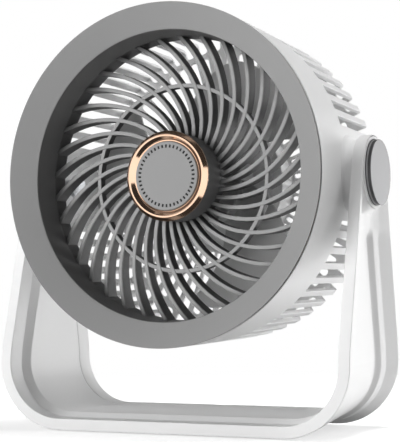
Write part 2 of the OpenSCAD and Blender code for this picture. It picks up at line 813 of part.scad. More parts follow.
module power_button() {
  color("white") rear_on() {
    translate([0, 0, cover_in - 1.2]) cylinder(r = button_r + 1.4, h = 1.2);
    translate([0, 0, cover_in - 0.5]) cylinder(r = button_r, h = head_reach - 0.3 - cover_in + 0.5);
    translate([0, 0, board_back + 2.4]) cylinder(r = 1.75, h = cover_in - 1 - board_back - 2.4);
  }
}

module switch_plunger() {
  color("black") rear_on() translate([0, 0, board_back + 0.8]) cylinder(r = 1.74, h = 1.6);
}

stand_frame();
stand_inner_cover();
ballast_plate();
stand_screws();
rubber_feet();
pivot_cap_left();
pivot_cap_right();
rear_shell();
front_bezel();
front_duct();
front_grille();
grille_hub();
trim_ring();
badge_disc();
pivot_post_left();
pivot_post_right();
friction_washers();
wave_washers();
retaining_washers();
pivot_screws();
bezel_screws();
motor_base();
motor_bearings();
stator_core();
stator_coils();
motor_screws();
motor_leads();
battery_cells();
battery_tray();
tray_screws();
battery_leads();
control_board();
board_screws();
tact_switch();
usb_socket();
indicator_lights();
rear_hub_cover();
cover_screws();
impeller();
rotor_can();
rotor_magnet();
motor_shaft();
shaft_clip();
impeller_nut();
power_button();
switch_plunger();
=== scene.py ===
import bmesh
import bpy
import numpy as np
from mathutils import Matrix


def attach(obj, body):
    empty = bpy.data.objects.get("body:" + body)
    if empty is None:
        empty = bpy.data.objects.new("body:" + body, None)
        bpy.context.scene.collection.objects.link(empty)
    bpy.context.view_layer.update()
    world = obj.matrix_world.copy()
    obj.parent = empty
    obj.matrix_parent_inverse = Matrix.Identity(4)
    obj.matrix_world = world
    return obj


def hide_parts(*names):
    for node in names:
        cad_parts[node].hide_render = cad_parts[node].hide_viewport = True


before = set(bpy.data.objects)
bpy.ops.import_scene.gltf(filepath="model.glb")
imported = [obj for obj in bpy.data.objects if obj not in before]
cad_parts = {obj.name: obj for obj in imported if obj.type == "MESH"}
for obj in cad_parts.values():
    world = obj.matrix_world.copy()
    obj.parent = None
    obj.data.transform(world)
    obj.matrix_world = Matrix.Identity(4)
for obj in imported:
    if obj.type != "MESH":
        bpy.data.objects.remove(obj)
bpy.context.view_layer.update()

# Camera: the photograph's own view, from 25 degrees to the right of the front and a little below
# the tilt axis. It has a long lens, so the ring stays nearly round.

# The height of the tilt axis over the ground. Sizes in this file are millimetres, until they are
# divided by 1000 for Blender.
PIVOT = 150.1


def placed(x, y, z, at):
    """The matrix of an object whose own axes point along x, y and z, at a place in metres."""
    return Matrix([[*row, there] for row, there in zip(np.array([x, y, z]).T, at)] + [[0, 0, 0, 1]])


turn, rise, roll = np.radians([25.2446, -3.0781, -0.6370])
back = np.array([np.sin(turn) * np.cos(rise), -np.cos(turn) * np.cos(rise), np.sin(rise)])
right = np.cross([0, 0, 1], back)
right /= np.linalg.norm(right)
up = np.cross(back, right)
aside, below, distance = 0.2775, 24.361, 803.364
spot = np.array([0, 0, PIVOT]) - aside * right - below * up + distance * back
right, up = np.cos(roll) * right + np.sin(roll) * up, np.cos(roll) * up - np.sin(roll) * right
focal_px, photo_height_px = 1305.925, 442
lens_data = bpy.data.cameras.new("camera")
lens_data.sensor_width = 36
lens_data.lens = focal_px * 36 / photo_height_px
lens_data.clip_start, lens_data.clip_end = 0.01, 50
camera = bpy.data.objects.new("camera", lens_data)
camera.matrix_world = placed(right, up, back, spot / 1000)
bpy.context.scene.collection.objects.link(camera)
bpy.context.scene.camera = camera


# Studio: a plain white sweep with soft lamps, as for a catalogue picture. The floor takes the
# object's shadow, and the backdrop is white to the camera.
def colour(code):
    """An sRGB hex colour as linear light: each channel over 255, with the sRGB curve undone."""
    c = np.array([int(code[i : i + 2], 16) for i in (1, 3, 5)]) / 255
    c = np.where(c <= 0.04045, c / 12.92, ((c + 0.055) / 1.055) ** 2.4)
    return (*c.tolist(), 1.0)


def add(tree, kind, sockets=None, **settings):
    """Adds one shader node with its settings. Each socket is given a number or a colour, or the
    output that feeds it, where a whole node means the first output that it has in use. A Mix
    node's sockets go by number: 0 is its factor, and it mixes 2 with 3, or the colours 6 with 7."""
    node = tree.nodes.new("ShaderNode" + kind)
    for key, value in settings.items():
        setattr(node, key, value)
    for key, value in (sockets or {}).items():
        if isinstance(value, bpy.types.Node):
            value = next(output for output in value.outputs if output.enabled)
        if isinstance(value, bpy.types.NodeSocket):
            tree.links.new(value, node.inputs[key])
        else:
            node.inputs[key].default_value = value
    return node


def new_finish(name):
    """A new material with an empty node tree, that tree, and the object's own coordinates in it."""
    finish = bpy.data.materials.new(name)
    finish.use_nodes = True
    tree = finish.node_tree
    tree.nodes.clear()
    return finish, tree, add(tree, "TexCoord").outputs["Object"]


scene = bpy.context.scene
scene.view_settings.view_transform = "Standard"
studio = bpy.data.worlds.new("studio")
scene.world = studio
studio.use_nodes = True
sky = studio.node_tree
sky.nodes.clear()

# What glossy surfaces mirror, by the direction that they look in: the white sweep as a bright belt
# from 37 degrees below the horizon to 17 above it, dimmer at the left rear, with soft light on the
# left above and below it, and a bright card at the right rear.
way = add(sky, "TexCoord").outputs["Generated"]
x, y, z = add(sky, "SeparateXYZ", {0: way}).outputs
off = add(sky, "Math", {0: add(sky, "Math", {0: z, 1: 0.16}, operation="ADD")}, operation="ABSOLUTE")
in_belt = add(sky, "MapRange", {"Value": off, "From Min": 0.42, "From Max": 0.47, "To Min": 1, "To Max": 0})
left = add(sky, "MapRange", {"Value": x, "From Min": -0.3, "From Max": -0.55, "To Min": 0.04, "To Max": 0.8})
rightness = add(sky, "Math", {0: x, 1: y}, operation="SUBTRACT")
belt = add(sky, "MapRange", {"Value": rightness, "From Min": -0.75, "From Max": -1.0,
                             "To Min": 1.4, "To Max": 0.3})
to_card = add(sky, "VectorMath", {0: way, 1: (0.3, 0.94, -0.15)}, operation="DOT_PRODUCT")
card = add(sky, "MapRange", {"Value": to_card, "From Min": 0.9, "From Max": 0.965, "To Max": 2.2})
sides = add(sky, "Mix", {0: in_belt, 2: left, 3: belt})
mirrored = add(sky, "Math", {0: sides, 1: card}, operation="ADD")

# Matt surfaces get a weak even light from the world, and the camera sees it white.
path = add(sky, "LightPath").outputs
fill = add(sky, "Mix", {0: path["Is Glossy Ray"], 2: 0.05, 3: mirrored})
clear = add(sky, "Math", {0: path["Is Camera Ray"], 1: path["Is Transmission Ray"]}, operation="MAXIMUM")
level = add(sky, "Mix", {0: clear, 2: fill, 3: 1.0})
light = add(sky, "Background", {"Color": (1, 1, 1, 1), "Strength": level})
add(sky, "OutputWorld", {"Surface": light})

# The floor is white paper. To the camera it has a glow of its own, and it fades to plain white
# between 220 and 500 mm from the object. Glossy rays pass it and see the belt.
floor_mesh = bpy.data.meshes.new("floor")
floor_mesh.from_pydata([(-6, -6, 0), (6, -6, 0), (6, 6, 0), (-6, 6, 0)], [], [(0, 1, 2, 3)])
floor = bpy.data.objects.new("floor", floor_mesh)
scene.collection.objects.link(floor)
paper, t, here = new_finish("white paper sweep")
seen = add(t, "LightPath").outputs["Is Camera Ray"]
matte = add(t, "BsdfDiffuse", {"Color": colour("#cccccc")})
glow = add(t, "Emission", {"Color": (1, 1, 1, 1), "Strength": 0.64})
near = add(t, "MixShader", {0: seen, 1: matte, 2: add(t, "AddShader", {0: matte, 1: glow})})
white = add(t, "Emission", {"Color": (1, 1, 1, 1), "Strength": 1.0})
far = add(t, "VectorMath", {0: here}, operation="LENGTH")
fade = add(t, "MapRange", {"Value": far, "From Min": 0.22, "From Max": 0.5})
out_there = add(t, "Math", {0: fade, 1: seen}, operation="MULTIPLY")
add(t, "OutputMaterial", {"Surface": add(t, "MixShader", {0: out_there, 1: near, 2: white})})
floor_mesh.materials.append(paper)
floor.visible_glossy = False

# Each lamp: name, where it stands and what it points at in metres, its size and its power. The
# lamps light the surfaces only, because glossy ones mirror the belt and the card.
for name, at, aim, size, power in [
    ("key", (-0.9, -1.75, 0.43), (0, 0, 0.14), 1.2, 35),
    ("right rear", (0.6, 1.88, 0.2), (0, 0, 0.14), 0.38, 25),
    ("top", (0.38, 0.2, 2.1), (0, 0, 0.14), 0.8, 31),
    ("right", (1.9, 0.2, 0.9), (0, 0, 0.14), 0.8, 4),
]:
    lamp = bpy.data.lights.new(name, "AREA")
    lamp.shape, lamp.size, lamp.energy = "DISK", size, power
    holder = bpy.data.objects.new(name, lamp)
    z = np.array(at, float) - aim
    z /= np.linalg.norm(z)
    x = np.cross([0, 0, 1], z)
    x /= np.linalg.norm(x)
    holder.matrix_world = placed(x, np.cross(z, x), z, at)
    holder.visible_camera = holder.visible_glossy = False
    scene.collection.objects.link(holder)


# Rear shell: the white drum, one ABS moulding with a smooth front band, side slots that run over
# the rear corner, radial slots in the rear face, a boss for each pivot and the round compartment
# for the cells. Its slots have softly rounded edges, as a mould leaves them.
def filled(loops):
    """The flat area between an outer loop of points and the holes in it, as points and triangles."""
    points = np.concatenate(loops)
    first = np.cumsum([0] + [len(loop) for loop in loops])
    edges = np.concatenate([np.stack([a + np.arange(b - a), a + (np.arange(b - a) + 1) % (b - a)], -1)
                            for a, b in zip(first[:-1], first[1:])])
    mesh = bpy.data.meshes.new("flat area")
    mesh.from_pydata(points, edges.tolist(), [])
    work = bmesh.new()
    work.from_mesh(mesh)
    bmesh.ops.triangle_fill(work, edges=work.edges, use_beauty=True)
    work.to_mesh(mesh)
    work.free()
    corners = np.zeros(len(mesh.loops), np.int32)
    mesh.loops.foreach_get("vertex_index", corners)
    bpy.data.meshes.remove(mesh)
    return points, corners.reshape(-1, 3)


def build(name, *grids, fills=(), weld=2e-6):
    """One mesh from grids of points. Each entry is (points, wrap_u, wrap_v), points being an array
    (..., nu, nv, 3) in millimetres. Neighbours are joined by quads, and points that fall together
    are welded, which closes poles and seams. Closed shells are then turned outwards."""
    points, quads, first = [], [], 0
    for grid, wrap_u, wrap_v in grids:
        nu, nv = grid.shape[-3:-1]
        flat = grid.reshape(-1, nu * nv, 3)
        u, v = np.arange(nu if wrap_u else nu - 1)[:, None], np.arange(nv if wrap_v else nv - 1)[None]
        u1, v1 = (u + 1) % nu, (v + 1) % nv
        one = np.stack([u * nv + v, u1 * nv + v, u1 * nv + v1, u * nv + v1], -1).reshape(-1, 4)
        quads.append((one[None] + first + (np.arange(len(flat)) * nu * nv)[:, None, None]).reshape(-1, 4))
        points.append(flat.reshape(-1, 3))
        first += len(points[-1])
    for loops in fills:
        flat, triangles = filled(loops)
        quads.append(triangles + first)
        points.append(flat)
        first += len(flat)
    points, corners = np.concatenate(points) / 1000, np.concatenate([f.ravel() for f in quads])
    sides = np.concatenate([np.full(len(f), f.shape[1]) for f in quads])
    mesh = bpy.data.meshes.new(name)
    mesh.vertices.add(len(points))
    mesh.vertices.foreach_set("co", points.ravel())
    mesh.loops.add(len(corners))
    mesh.loops.foreach_set("vertex_index", corners.astype(np.int32))
    mesh.polygons.add(len(sides))
    mesh.polygons.foreach_set("loop_start", (np.cumsum(sides) - sides).astype(np.int32))
    mesh.update(calc_edges=True)
    work = bmesh.new()
    work.from_mesh(mesh)
    bmesh.ops.remove_doubles(work, verts=work.verts, dist=weld)
    bmesh.ops.dissolve_degenerate(work, dist=weld / 2, edges=work.edges)
    bmesh.ops.delete(work, geom=[e for e in work.edges if not e.link_faces], context="EDGES")
    bmesh.ops.recalc_face_normals(work, faces=work.faces)
    work.to_mesh(mesh)
    work.free()
    mesh.polygons.foreach_set("use_smooth", np.full(len(mesh.polygons), True))
    piece = bpy.data.objects.new(name, mesh)
    scene.collection.objects.link(piece)
    piece.modifiers.new("flat faces keep their shading", "WEIGHTED_NORMAL").weight = 100
    return piece


def rounded(outline, back, steps=4):
    """An outline with its corners rounded. On both sides of a corner the curve starts 'back' away
    from it, and between those points it is the parabola that the corner pulls."""
    p = np.asarray(outline, float)
    a, b = np.roll(p, 1, 0) - p, np.roll(p, -1, 0) - p
    la, lb = np.linalg.norm(a, axis=1), np.linalg.norm(b, axis=1)
    t = np.minimum(np.broadcast_to(back, len(p)), 0.45 * np.minimum(la, lb))[:, None]
    a, b = p + a / la[:, None] * t, p + b / lb[:, None] * t
    s = np.linspace(0, 1, steps + 1)[None, :, None]
    curve = (1 - s) ** 2 * a[:, None] + 2 * s * (1 - s) * p[:, None] + s**2 * b[:, None]
    return curve.reshape(-1, 2)


def spin(profile, count=180):
    """A profile of (radius, height) turned about its own Z axis in equal steps."""
    r, h = np.asarray(profile, float).T
    a = np.radians(np.arange(count) * 360 / count)[:, None]
    return np.stack([r * np.cos(a), r * np.sin(a), h + 0 * a], -1)


def face_on(p):
    """Own +Z comes to the front, own +Y up, about the head's axis."""
    return np.stack([p[..., 0], -p[..., 2], p[..., 1] + PIVOT], -1)


def rear_on(p):
    """Own +Z goes to the rear, own +Y up, about the head's axis."""
    return np.stack([p[..., 0], p[..., 2], p[..., 1] + PIVOT], -1)


def side_on(p, side):
    """Own +Z points away from the head on one side, along the tilt axis."""
    return np.stack([side * p[..., 2], p[..., 1], PIVOT - side * p[..., 0]], -1)


def turned(p, degrees):
    """Points turned about their own Z axis; several angles give a stack of copies."""
    a = np.radians(np.asarray(degrees, float)).reshape(-1, *([1] * (p.ndim - 1)))
    x, y, z = p[..., 0], p[..., 1], p[..., 2]
    return np.stack([x * np.cos(a) - y * np.sin(a), x * np.sin(a) + y * np.cos(a), z + 0 * a], -1)


def moulded(name, code, rough, grain, depth, drift=0.03):
    """Injection-moulded plastic: a fine spark-eroded grain in the surface, a gloss that wanders a
    little, and a colour that drifts by a few hundredths over the piece. grain and depth are mm."""
    finish, t, here = new_finish(name)
    cloud = add(t, "TexNoise", {"Vector": here, "Scale": 1000 / 60, "Detail": 2})
    fine = add(t, "TexNoise", {"Vector": here, "Scale": 1000 / grain, "Detail": 3, "Roughness": 0.6})
    base = np.array(colour(code))
    lower, upper = base * (1 - drift), np.minimum(base * (1 + drift), 1)
    lower[3] = upper[3] = 1
    tint = add(t, "Mix", {0: cloud, 6: lower, 7: upper}, data_type="RGBA")
    gloss = add(t, "MapRange", {"Value": fine, "From Min": 0.3, "From Max": 0.7,
                                "To Min": rough - 0.05, "To Max": rough + 0.06})
    relief = add(t, "Bump", {"Strength": 0.5, "Distance": depth / 1000, "Height": fine})
    shade = add(t, "BsdfPrincipled", {"IOR": 1.5, "Base Color": tint, "Roughness": gloss, "Normal": relief})
    add(t, "OutputMaterial", {"Surface": shade})
    return finish


def dress(piece, finish, body, slot, *stands_for):
    """Gives a piece its finish and its body, and hides the CAD nodes that it stands for. slot is not used."""
    piece.data.materials.append(finish)
    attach(piece, body)
    if stands_for:
        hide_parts(*stands_for)


# White ABS from a finely textured mould: a soft sheen with no sharp reflections.
white_abs = moulded("white ABS, fine matt mould texture", "#f1f1f1", 0.42, 0.8, 0.02, 0.01)

# The drum's skin in section: from the seam with the front bezel to the rear corner, and in over
# the rear face. z is the distance in front of the tilt axis.
seam, rear_z, front_r, rear_r, inner_r, drum_wall = 56.4, -50.0, 100.0, 98.0, 38.0, 2.5
corner = rounded([(front_r, seam), (rear_r, rear_z), (inner_r, rear_z)], [0, 3.2, 0], 10)[11:22]
skin = np.concatenate([[(front_r, seam)], corner, [(inner_r, rear_z)]])
steps = np.linspace(skin[:-1], skin[1:], 40, endpoint=False).swapaxes(0, 1)
skin = np.concatenate([steps.reshape(-1, 2), skin[-1:]])
length = np.concatenate([[0], np.cumsum(np.linalg.norm(np.diff(skin, axis=0), axis=1))])
slope = np.gradient(skin, length + np.arange(len(length)) * 1e-9, axis=0)
slope /= np.linalg.norm(slope, axis=1)[:, None]


def shell(s, degrees, depth):
    """A point of the drum's wall: s along its section from the front seam over the rear corner to
    the middle, an angle round the axis, and a depth below the outer skin."""
    r = np.interp(s, length, skin[:, 0]) + depth * np.interp(s, length, slope[:, 1])
    z = np.interp(s, length, skin[:, 1]) - depth * np.interp(s, length, slope[:, 0])
    a = np.radians(degrees)
    return np.stack([r * np.cos(a), r * np.sin(a), z + 0 * a], -1)


def slot_cells(surface, sizes, half, ends, edges, long_s, step, thick, lip):
    """The wall round one slot, as a closed band that runs from the cell's border over the outer
    skin, round the slot's lip, through the wall and back over the inner skin to the border.
    The slot's sides are at +-half(s) and its ends are superellipses; ends gives each end's place,
    its depth and its exponent. Rows of the grid go through the wall, columns go round the slot."""
    (a, deep_a, n_a), (b, deep_b, n_b) = ends
    quarter = np.radians(np.linspace(0, 90, 7))
    j = np.arange(7)

    def outline(grow):
        def end(place, deep, power, sign):
            s = place - sign * grow + sign * (deep + grow) * (1 - np.cos(quarter) ** (2 / power))
            inner = place + sign * deep
            return s, (half(inner) + grow) * np.sin(quarter) ** (2 / power)

        sa, xa = end(a, deep_a, n_a, 1)
        sb, xb = end(b, deep_b, n_b, -1)
        s = np.concatenate([sa, long_s, sb[::-1]])
        x = np.concatenate([xa, half(long_s) + grow, xb[::-1]])
        return np.concatenate([s, s[-2:0:-1]]), np.concatenate([x, -x[-2:0:-1]])

    def border():
        def end(edge, inner):
            s = np.where(j <= 3, edge, edge + (inner - edge) * (j - 3) / 3)
            return s, np.where(j <= 3, step / 2 * j / 3, step / 2)

        sa, ta = end(edges[0], a + deep_a)
        sb, tb = end(edges[1], b - deep_b)
        s = np.concatenate([sa, long_s, sb[::-1]])
        d = np.concatenate([ta, np.full(len(long_s), step / 2), tb[::-1]])
        return np.concatenate([s, s[-2:0:-1]]), np.concatenate([d, -d[-2:0:-1]])

    edge_s, edge_d = border()
    arc = np.radians([0, 22.5, 45, 67.5, 90])
    top = [(1.0, lip, 0.0), (0.45, lip, 0.0)]
    top += [(0.0, lip * (1 - np.sin(f)), lip * (1 - np.cos(f))) for f in arc]
    rows = top + [(m, g, thick - d) for m, g, d in top[::-1]]
    grid = []
    for mix, grow, depth in rows:
        s, x = outline(grow)
        d = np.degrees(np.arcsin(np.clip(x / sizes(s), -1, 1)))
        grid.append(surface(s + (edge_s - s) * mix, d + (edge_d - d) * mix, depth))
    return np.array(grid)


def radius_at(s):
    """The skin's radius at a place along its section."""
    return np.interp(s, length, skin[:, 0])


def s_of_z(z):
    """The place along the section at a distance in front of the tilt axis."""
    return np.interp(-z, -skin[:, 1], length)


def s_of_r(r):
    """The place along the section at a radius of the rear face."""
    back_face = length > s_of_z(rear_z + 0.001)
    return np.interp(-r, -skin[back_face, 0], length[back_face])


# The slots: 60 round the side and over the corner, and 60 radial ones in the rear face. The bosses
# stand on the side, so there the cells are plain.
slots, slot_step, slot_lip, half_width = 60, 6.0, 0.45, 2.9
start, middle, inner_edge = s_of_z(14.0), s_of_r(88.4), s_of_r(43.35)
bend = s_of_z(rear_z + 3.6)
side_ends = ((s_of_z(10.5), 2.2, 5.0), (s_of_r(90.1), 2.4, 2.2))
side_long = np.concatenate([np.linspace(s_of_z(5), bend, 5), bend + np.linspace(0, 6.2, 8)[1:]])
side_cell = slot_cells(shell, radius_at, lambda s: half_width + 0 * s, side_ends, (start, middle), side_long,
                       slot_step, drum_wall, slot_lip)
ring_ends = ((s_of_r(86.5), 2.0, 2.2), (s_of_r(44.1), 0.9, 2.2))
ring_long = np.linspace(s_of_r(83.5), s_of_r(46), 6)
ring_cell = slot_cells(shell, radius_at, lambda s: radius_at(s) * np.sin(np.radians(1.74)), ring_ends,
                       (middle, inner_edge), ring_long, slot_step, drum_wall, slot_lip)
cell_angles = np.arange(slots) * slot_step
plain = np.abs(np.sin(np.radians(cell_angles))) <= np.sin(np.radians(14.67))
border_s = np.concatenate([np.linspace(start, side_ends[0][0] + side_ends[0][1], 4), side_long,
                           np.linspace(side_ends[1][0] - side_ends[1][1], middle, 4)])
plain_cell = np.array([shell(border_s[:, None], np.arange(-3.0, 3.1)[None], d) for d in (0, drum_wall)])
plain_cells = np.concatenate([turned(wall, cell_angles[plain]) for wall in plain_cell])

# The front band, as places along the section and depths below the skin: over the outside, round
# the edge at the seam and back inside over a small rib. Its edge dips by up to 1.5 mm at the lower
# right, by the squared cosine of the angle from there.
whole = np.arange(360.0)[:, None]
front_s = np.array([start, 36.0, 26, 16, 6, 0.8, 0.35, 0.12, 0, 0.45, 1.1, 1.35, 1.6, 2, 7.2, 14.7,
                    14.9, 15.3, 15.5, 26, start])
front_d = np.array([0, 0, 0, 0, 0, 0, 0.04, 0.14, 0.35, 1, 2.0, 2.3, 2.45, 2.5, 2.5, 2.5,
                    4.7, 4.7, 2.6, 2.5, 2.5])
dip = 1.5 * np.clip(np.cos(np.radians(whole + 62)), 0, 1) ** 2
front_band = shell(front_s[None] + dip * np.clip(1 - front_s / 7.2, 0, 1), whole, front_d[None])

# The compartment for the cells: a round cup that opens to the rear.
cup = [(40.9, rear_z), (40.8, rear_z + 0.3), (40.8, -31.3), (40.5, -31.0), (0, -31.0)]
cup_wall = spin([tuple(shell(inner_edge, 0, 0)[[0, 2]])] + [(41.3, rear_z)] + cup, 360)
cup_out = [(0, -29.0), (42.4, -29.0), (42.8, -29.15), (43.0, -29.6), (43.0, -47.2)]
cup_front = spin(cup_out + [tuple(shell(inner_edge, 0, drum_wall)[[0, 2]])], 360)


def pivot_boss(side):
    """The round boss of a pivot, with a soft root: at radius 19.5 + 3.2 (1 - t)^2 it stands 3.2 t^2
    off the drum's own surface, for t from 0 to 1, and then it goes straight out to its face."""
    a = np.radians(np.arange(120) * 3.0)[:, None]
    t = np.linspace(0, 1, 9)[None]
    r = 19.5 + 3.2 * (1 - t) ** 2
    h, v = r * np.cos(a), r * np.sin(a)
    drum = rear_r + 2 * (h - rear_z) / (seam - rear_z)
    root = np.stack([v, -h, np.sqrt(drum**2 - v**2) + 3.2 * t**2], -1)
    inner = root[:, :1] * [1, 1, 0] + [0, 0, 95.0]
    pole = inner * [0, 0, 1]
    rim = np.array([(19.5, 103.9), (19.42, 104.2), (19.2, 104.42), (18.9, 104.5), (0, 104.5)])
    face = np.stack([rim[:, 0] * np.sin(a), -rim[:, 0] * np.cos(a), rim[:, 1] + 0 * a], -1)
    return side_on(np.concatenate([pole, inner, root, face], 1), side)


cover_bosses = np.array([(x, y, 0) for x in (-16, 16) for y in (-32, 32)])[:, None, None]
screw_post = spin([(0, -49.95), (1.25, -49.95), (3.2, -49.95), (3.4, -49.7), (3.4, -30.9), (0, -30.9)], 32)
drum = build(
    "rear_shell_moulding",
    (face_on(turned(side_cell, cell_angles[~plain])), False, True),
    (face_on(turned(ring_cell, cell_angles)), False, True),
    (face_on(plain_cells), False, False),
    (face_on(front_band), True, False),
    (face_on(cup_wall), True, False),
    (face_on(cup_front), True, False),
    (pivot_boss(1), True, False),
    (pivot_boss(-1), True, False),
    (face_on(screw_post + cover_bosses), True, False),
)
dress(drum, white_abs, "head", "white_plastic", "rear_shell")

# Front bezel: the wide ring round the mouth of the fan, grey ABS with a matt mould texture, that
# slopes in to the grille. Its spigot pushes into the drum and is held by the screws of the duct.
grey_abs = moulded("grey ABS, matt mould texture", "#969696", 0.5, 0.7, 0.03)
bezel_outline = [(100, 58.7), (85.4, 50.7), (85.4, 50.3), (86.05, 50.2), (86.05, 46.05), (87.2, 46.05),
                 (87.2, 49.3), (92.9, 52.4), (92.9, 42.1), (97.1, 42.1), (97.1, 55.3), (99.2, 57.5),
                 (100, 58.0)]
bezel_corners = [0.4, 0.7, 0.1, 0.1, 0.1, 0.2, 0.3, 0.3, 0.4, 0.4, 0.4, 0.3, 0.2]
bezel_ring = spin(rounded(bezel_outline, bezel_corners, 5), 288)
bosses = spin([(0, 46.0), (1.25, 46.0), (2.9, 46.0), (3.0, 46.2), (3.0, 52.2), (0, 52.2)], 24)
bosses = turned(bosses + [91, 0, 0], np.arange(30, 360, 60))
bezel = build("front_bezel_ring", (face_on(bezel_ring), True, True), (face_on(bosses), True, False))
dress(bezel, grey_abs, "head", "grey_plastic", "front_bezel")

# Seam strip: a black strip in the joint between the drum and the bezel, set there as painted shade,
# so that the gap shows as a dark line round the front. Its rear edge dips with the drum's.
joint_shade_finish = moulded("black strip as painted shade in the bezel joint", "#2c2c2c", 0.85, 0.9, 0.06)
strip_outline = [(97.6, 56.0), (99.45, 56.6), (99.45, 57.9), (98.9, 57.6), (97.6, 56.4)]
strip_ring = spin(rounded(strip_outline, 0.12, 3), 360)
strip_ring[..., 2] -= dip * (strip_ring[..., 2] < 57)
strip = build("bezel_seam_strip", (face_on(strip_ring), True, True))
dress(strip, joint_shade_finish, "head", "rubber")

# Front duct: the dark cylindrical wall between the bezel and the vanes, charcoal polypropylene.
# A flange behind the bezel takes the six screws.
charcoal_pp = moulded("charcoal polypropylene", "#6c6c6c", 0.55, 0.7, 0.03)
duct_outline = [(85.15, 50.1), (84.95, 31.0), (87.15, 31.0), (87.15, 44), (94, 44), (94, 45.95),
                (85.85, 45.95), (85.85, 50.1)]
duct = build("front_duct_wall", (face_on(spin(rounded(duct_outline, 0.25, 3), 240)), True, True))
dress(duct, charcoal_pp, "head", "grille_plastic", "front_duct")

# Front grille: 37 vanes that sweep out from the hub in an even spiral, with a thin ring half way,
# all in one grey moulding. The vanes' front edges rise towards the wall, and every edge is eased.
grille_abs = moulded("grey ABS of the grille, its front edges light and its sides charcoal", "#9e9e9e",
                     0.45, 0.7, 0.02)

# Its light grey lies within 1.1 mm of the front edges. Below that the sides are painted dark grey as
# the shade between the vanes, and this painted shade deepens towards the wall and the hub.
t = grille_abs.node_tree
here = add(t, "TexCoord").outputs["Object"]
flat = add(t, "VectorMath", {0: here, 1: (0, 0, -PIVOT / 1000)}, operation="ADD")
flat = add(t, "VectorMath", {0: flat, 1: (1, 0, 1)}, operation="MULTIPLY")
away = add(t, "VectorMath", {0: flat}, operation="LENGTH")
top = add(t, "MapRange", {"Value": away, "From Min": 0.0555, "From Max": 0.084,
                          "To Min": 0.0275, "To Max": 0.031})
under = add(t, "Math", {0: top, 1: add(t, "SeparateXYZ", {0: here}).outputs[1]}, operation="ADD")
edge = add(t, "MapRange", {"Value": under, "From Min": 0.0004, "From Max": 0.0011, "To Min": 1, "To Max": 0})
wall = add(t, "MapRange", {"Value": away, "From Min": 0.074, "From Max": 0.0845, "To Min": 1, "To Max": 0.15})
hub = add(t, "MapRange", {"Value": away, "From Min": 0.0262, "From Max": 0.031, "To Min": 0.25, "To Max": 1})
light = add(t, "Math", {0: edge, 1: wall}, operation="MULTIPLY")
light = add(t, "Math", {0: light, 1: hub}, operation="MULTIPLY")
# The darker grey is the colour of the painted shade on the vanes' sides.
two = add(t, "Mix", {0: light, 6: colour("#525252"), 7: t.nodes["Mix"].outputs[2]}, data_type="RGBA")
t.links.new(two.outputs[2], t.nodes["Principled BSDF"].inputs["Base Color"])

# The number of vanes, the hub's radius, and how far in front of the tilt axis the vanes begin, end
# at the hub and end at the wall.
vanes, hub_r, vane_foot, vane_front, wall_front = 37, 26, 19.5, 27.5, 31.0


def vane(r0=25.2, r1=85.9, stations=30, width=2.4, ease=0.5):
    """One vane: a rounded rectangle carried along the curve whose angle grows by 0.65 degrees for
    each millimetre of radius. Its rear edge is level, and its front edge climbs from the middle
    ring to the wall. The two ends close on their middle points."""
    r = np.linspace(r0, r1, stations)
    angle = np.radians(0.65 * (r - hub_r) + 1.9)
    mid = np.stack([r * np.cos(angle), r * np.sin(angle)], -1)
    ahead = np.gradient(mid, axis=0)
    ahead /= np.linalg.norm(ahead, axis=1)[:, None]
    beside = np.stack([-ahead[:, 1], ahead[:, 0]], -1)
    front = np.interp(r, [hub_r, 55.55, 84.0, 86], [vane_front, vane_front, wall_front, wall_front])
    half, high = width / 2, vane_front - vane_foot
    loop = rounded([(-half, 0), (half, 0), (half, high), (-half, high)], ease, 3)
    climb = np.where(loop[:, 1] > high / 2, 1, 0)[None] * (front - vane_front)[:, None]
    z = vane_foot + loop[:, 1][None] + climb
    xy = mid[:, None] + beside[:, None] * loop[:, 0][None, :, None]
    body = np.concatenate([xy, z[..., None]], -1)
    ends = body[[0, -1]].mean(1, keepdims=True).repeat(len(loop), 1)
    return np.concatenate([ends[:1], body, ends[1:]])


mid_ring = [(54.35, 21.5), (56.75, 21.5), (56.75, 27.15), (54.35, 27.15)]
wall_ring = [(84.9, wall_front), (84.6, vane_foot), (87.2, vane_foot), (87.2, wall_front)]
hub_ring = [(23.6, vane_foot), (hub_r, vane_foot), (hub_r, vane_front), (23.6, vane_front)]
grille = build(
    "front_grille_vanes",
    (face_on(turned(vane(), np.arange(vanes) * 360 / vanes)), False, True),
    (face_on(spin(rounded(mid_ring, 0.45, 3), 240)), True, True),
    (face_on(spin(rounded(wall_ring, 0.2, 2), 240)), True, True),
    (face_on(spin(rounded(hub_ring, 0.2, 2), 120)), True, True),
)
dress(grille, grille_abs, "head", "grille_plastic", "front_grille")

# Grille hub, trim ring and badge: a charcoal cup on the vanes, a ring plated in rose gold that
# snaps over its front, and a grey disc with a circle of 44 short slots through it to a dark foil.
hub_outline = [(0, 44.5), (26, 44.5), (26, 27.5), (23.6, 27.5), (23.6, 43.5), (0, 43.5)]
hub_cup = spin(rounded(hub_outline, [0, 0.5, 0.2, 0.2, 0.3, 0], 3), 144)
hub = build("grille_hub_cup", (face_on(hub_cup), True, False))
dress(hub, charcoal_pp, "head", "grille_plastic", "grille_hub")


def clouded(name, lower, upper, size, rough, sockets):
    """A smooth finish whose colour and roughness drift between two values with a soft noise of the
    given size in mm. 'sockets' holds the other values of its shader."""
    finish, t, here = new_finish(name)
    cloud = add(t, "TexNoise", {"Vector": here, "Scale": 1000 / size, "Detail": 2})
    gloss = add(t, "MapRange", {"Value": cloud, "To Min": rough[0], "To Max": rough[1]})
    tint = add(t, "Mix", {0: cloud, 6: colour(lower), 7: colour(upper)}, data_type="RGBA")
    shade = add(t, "BsdfPrincipled", {"Base Color": tint, "Roughness": gloss, **sockets})
    add(t, "OutputMaterial", {"Surface": shade})
    return finish


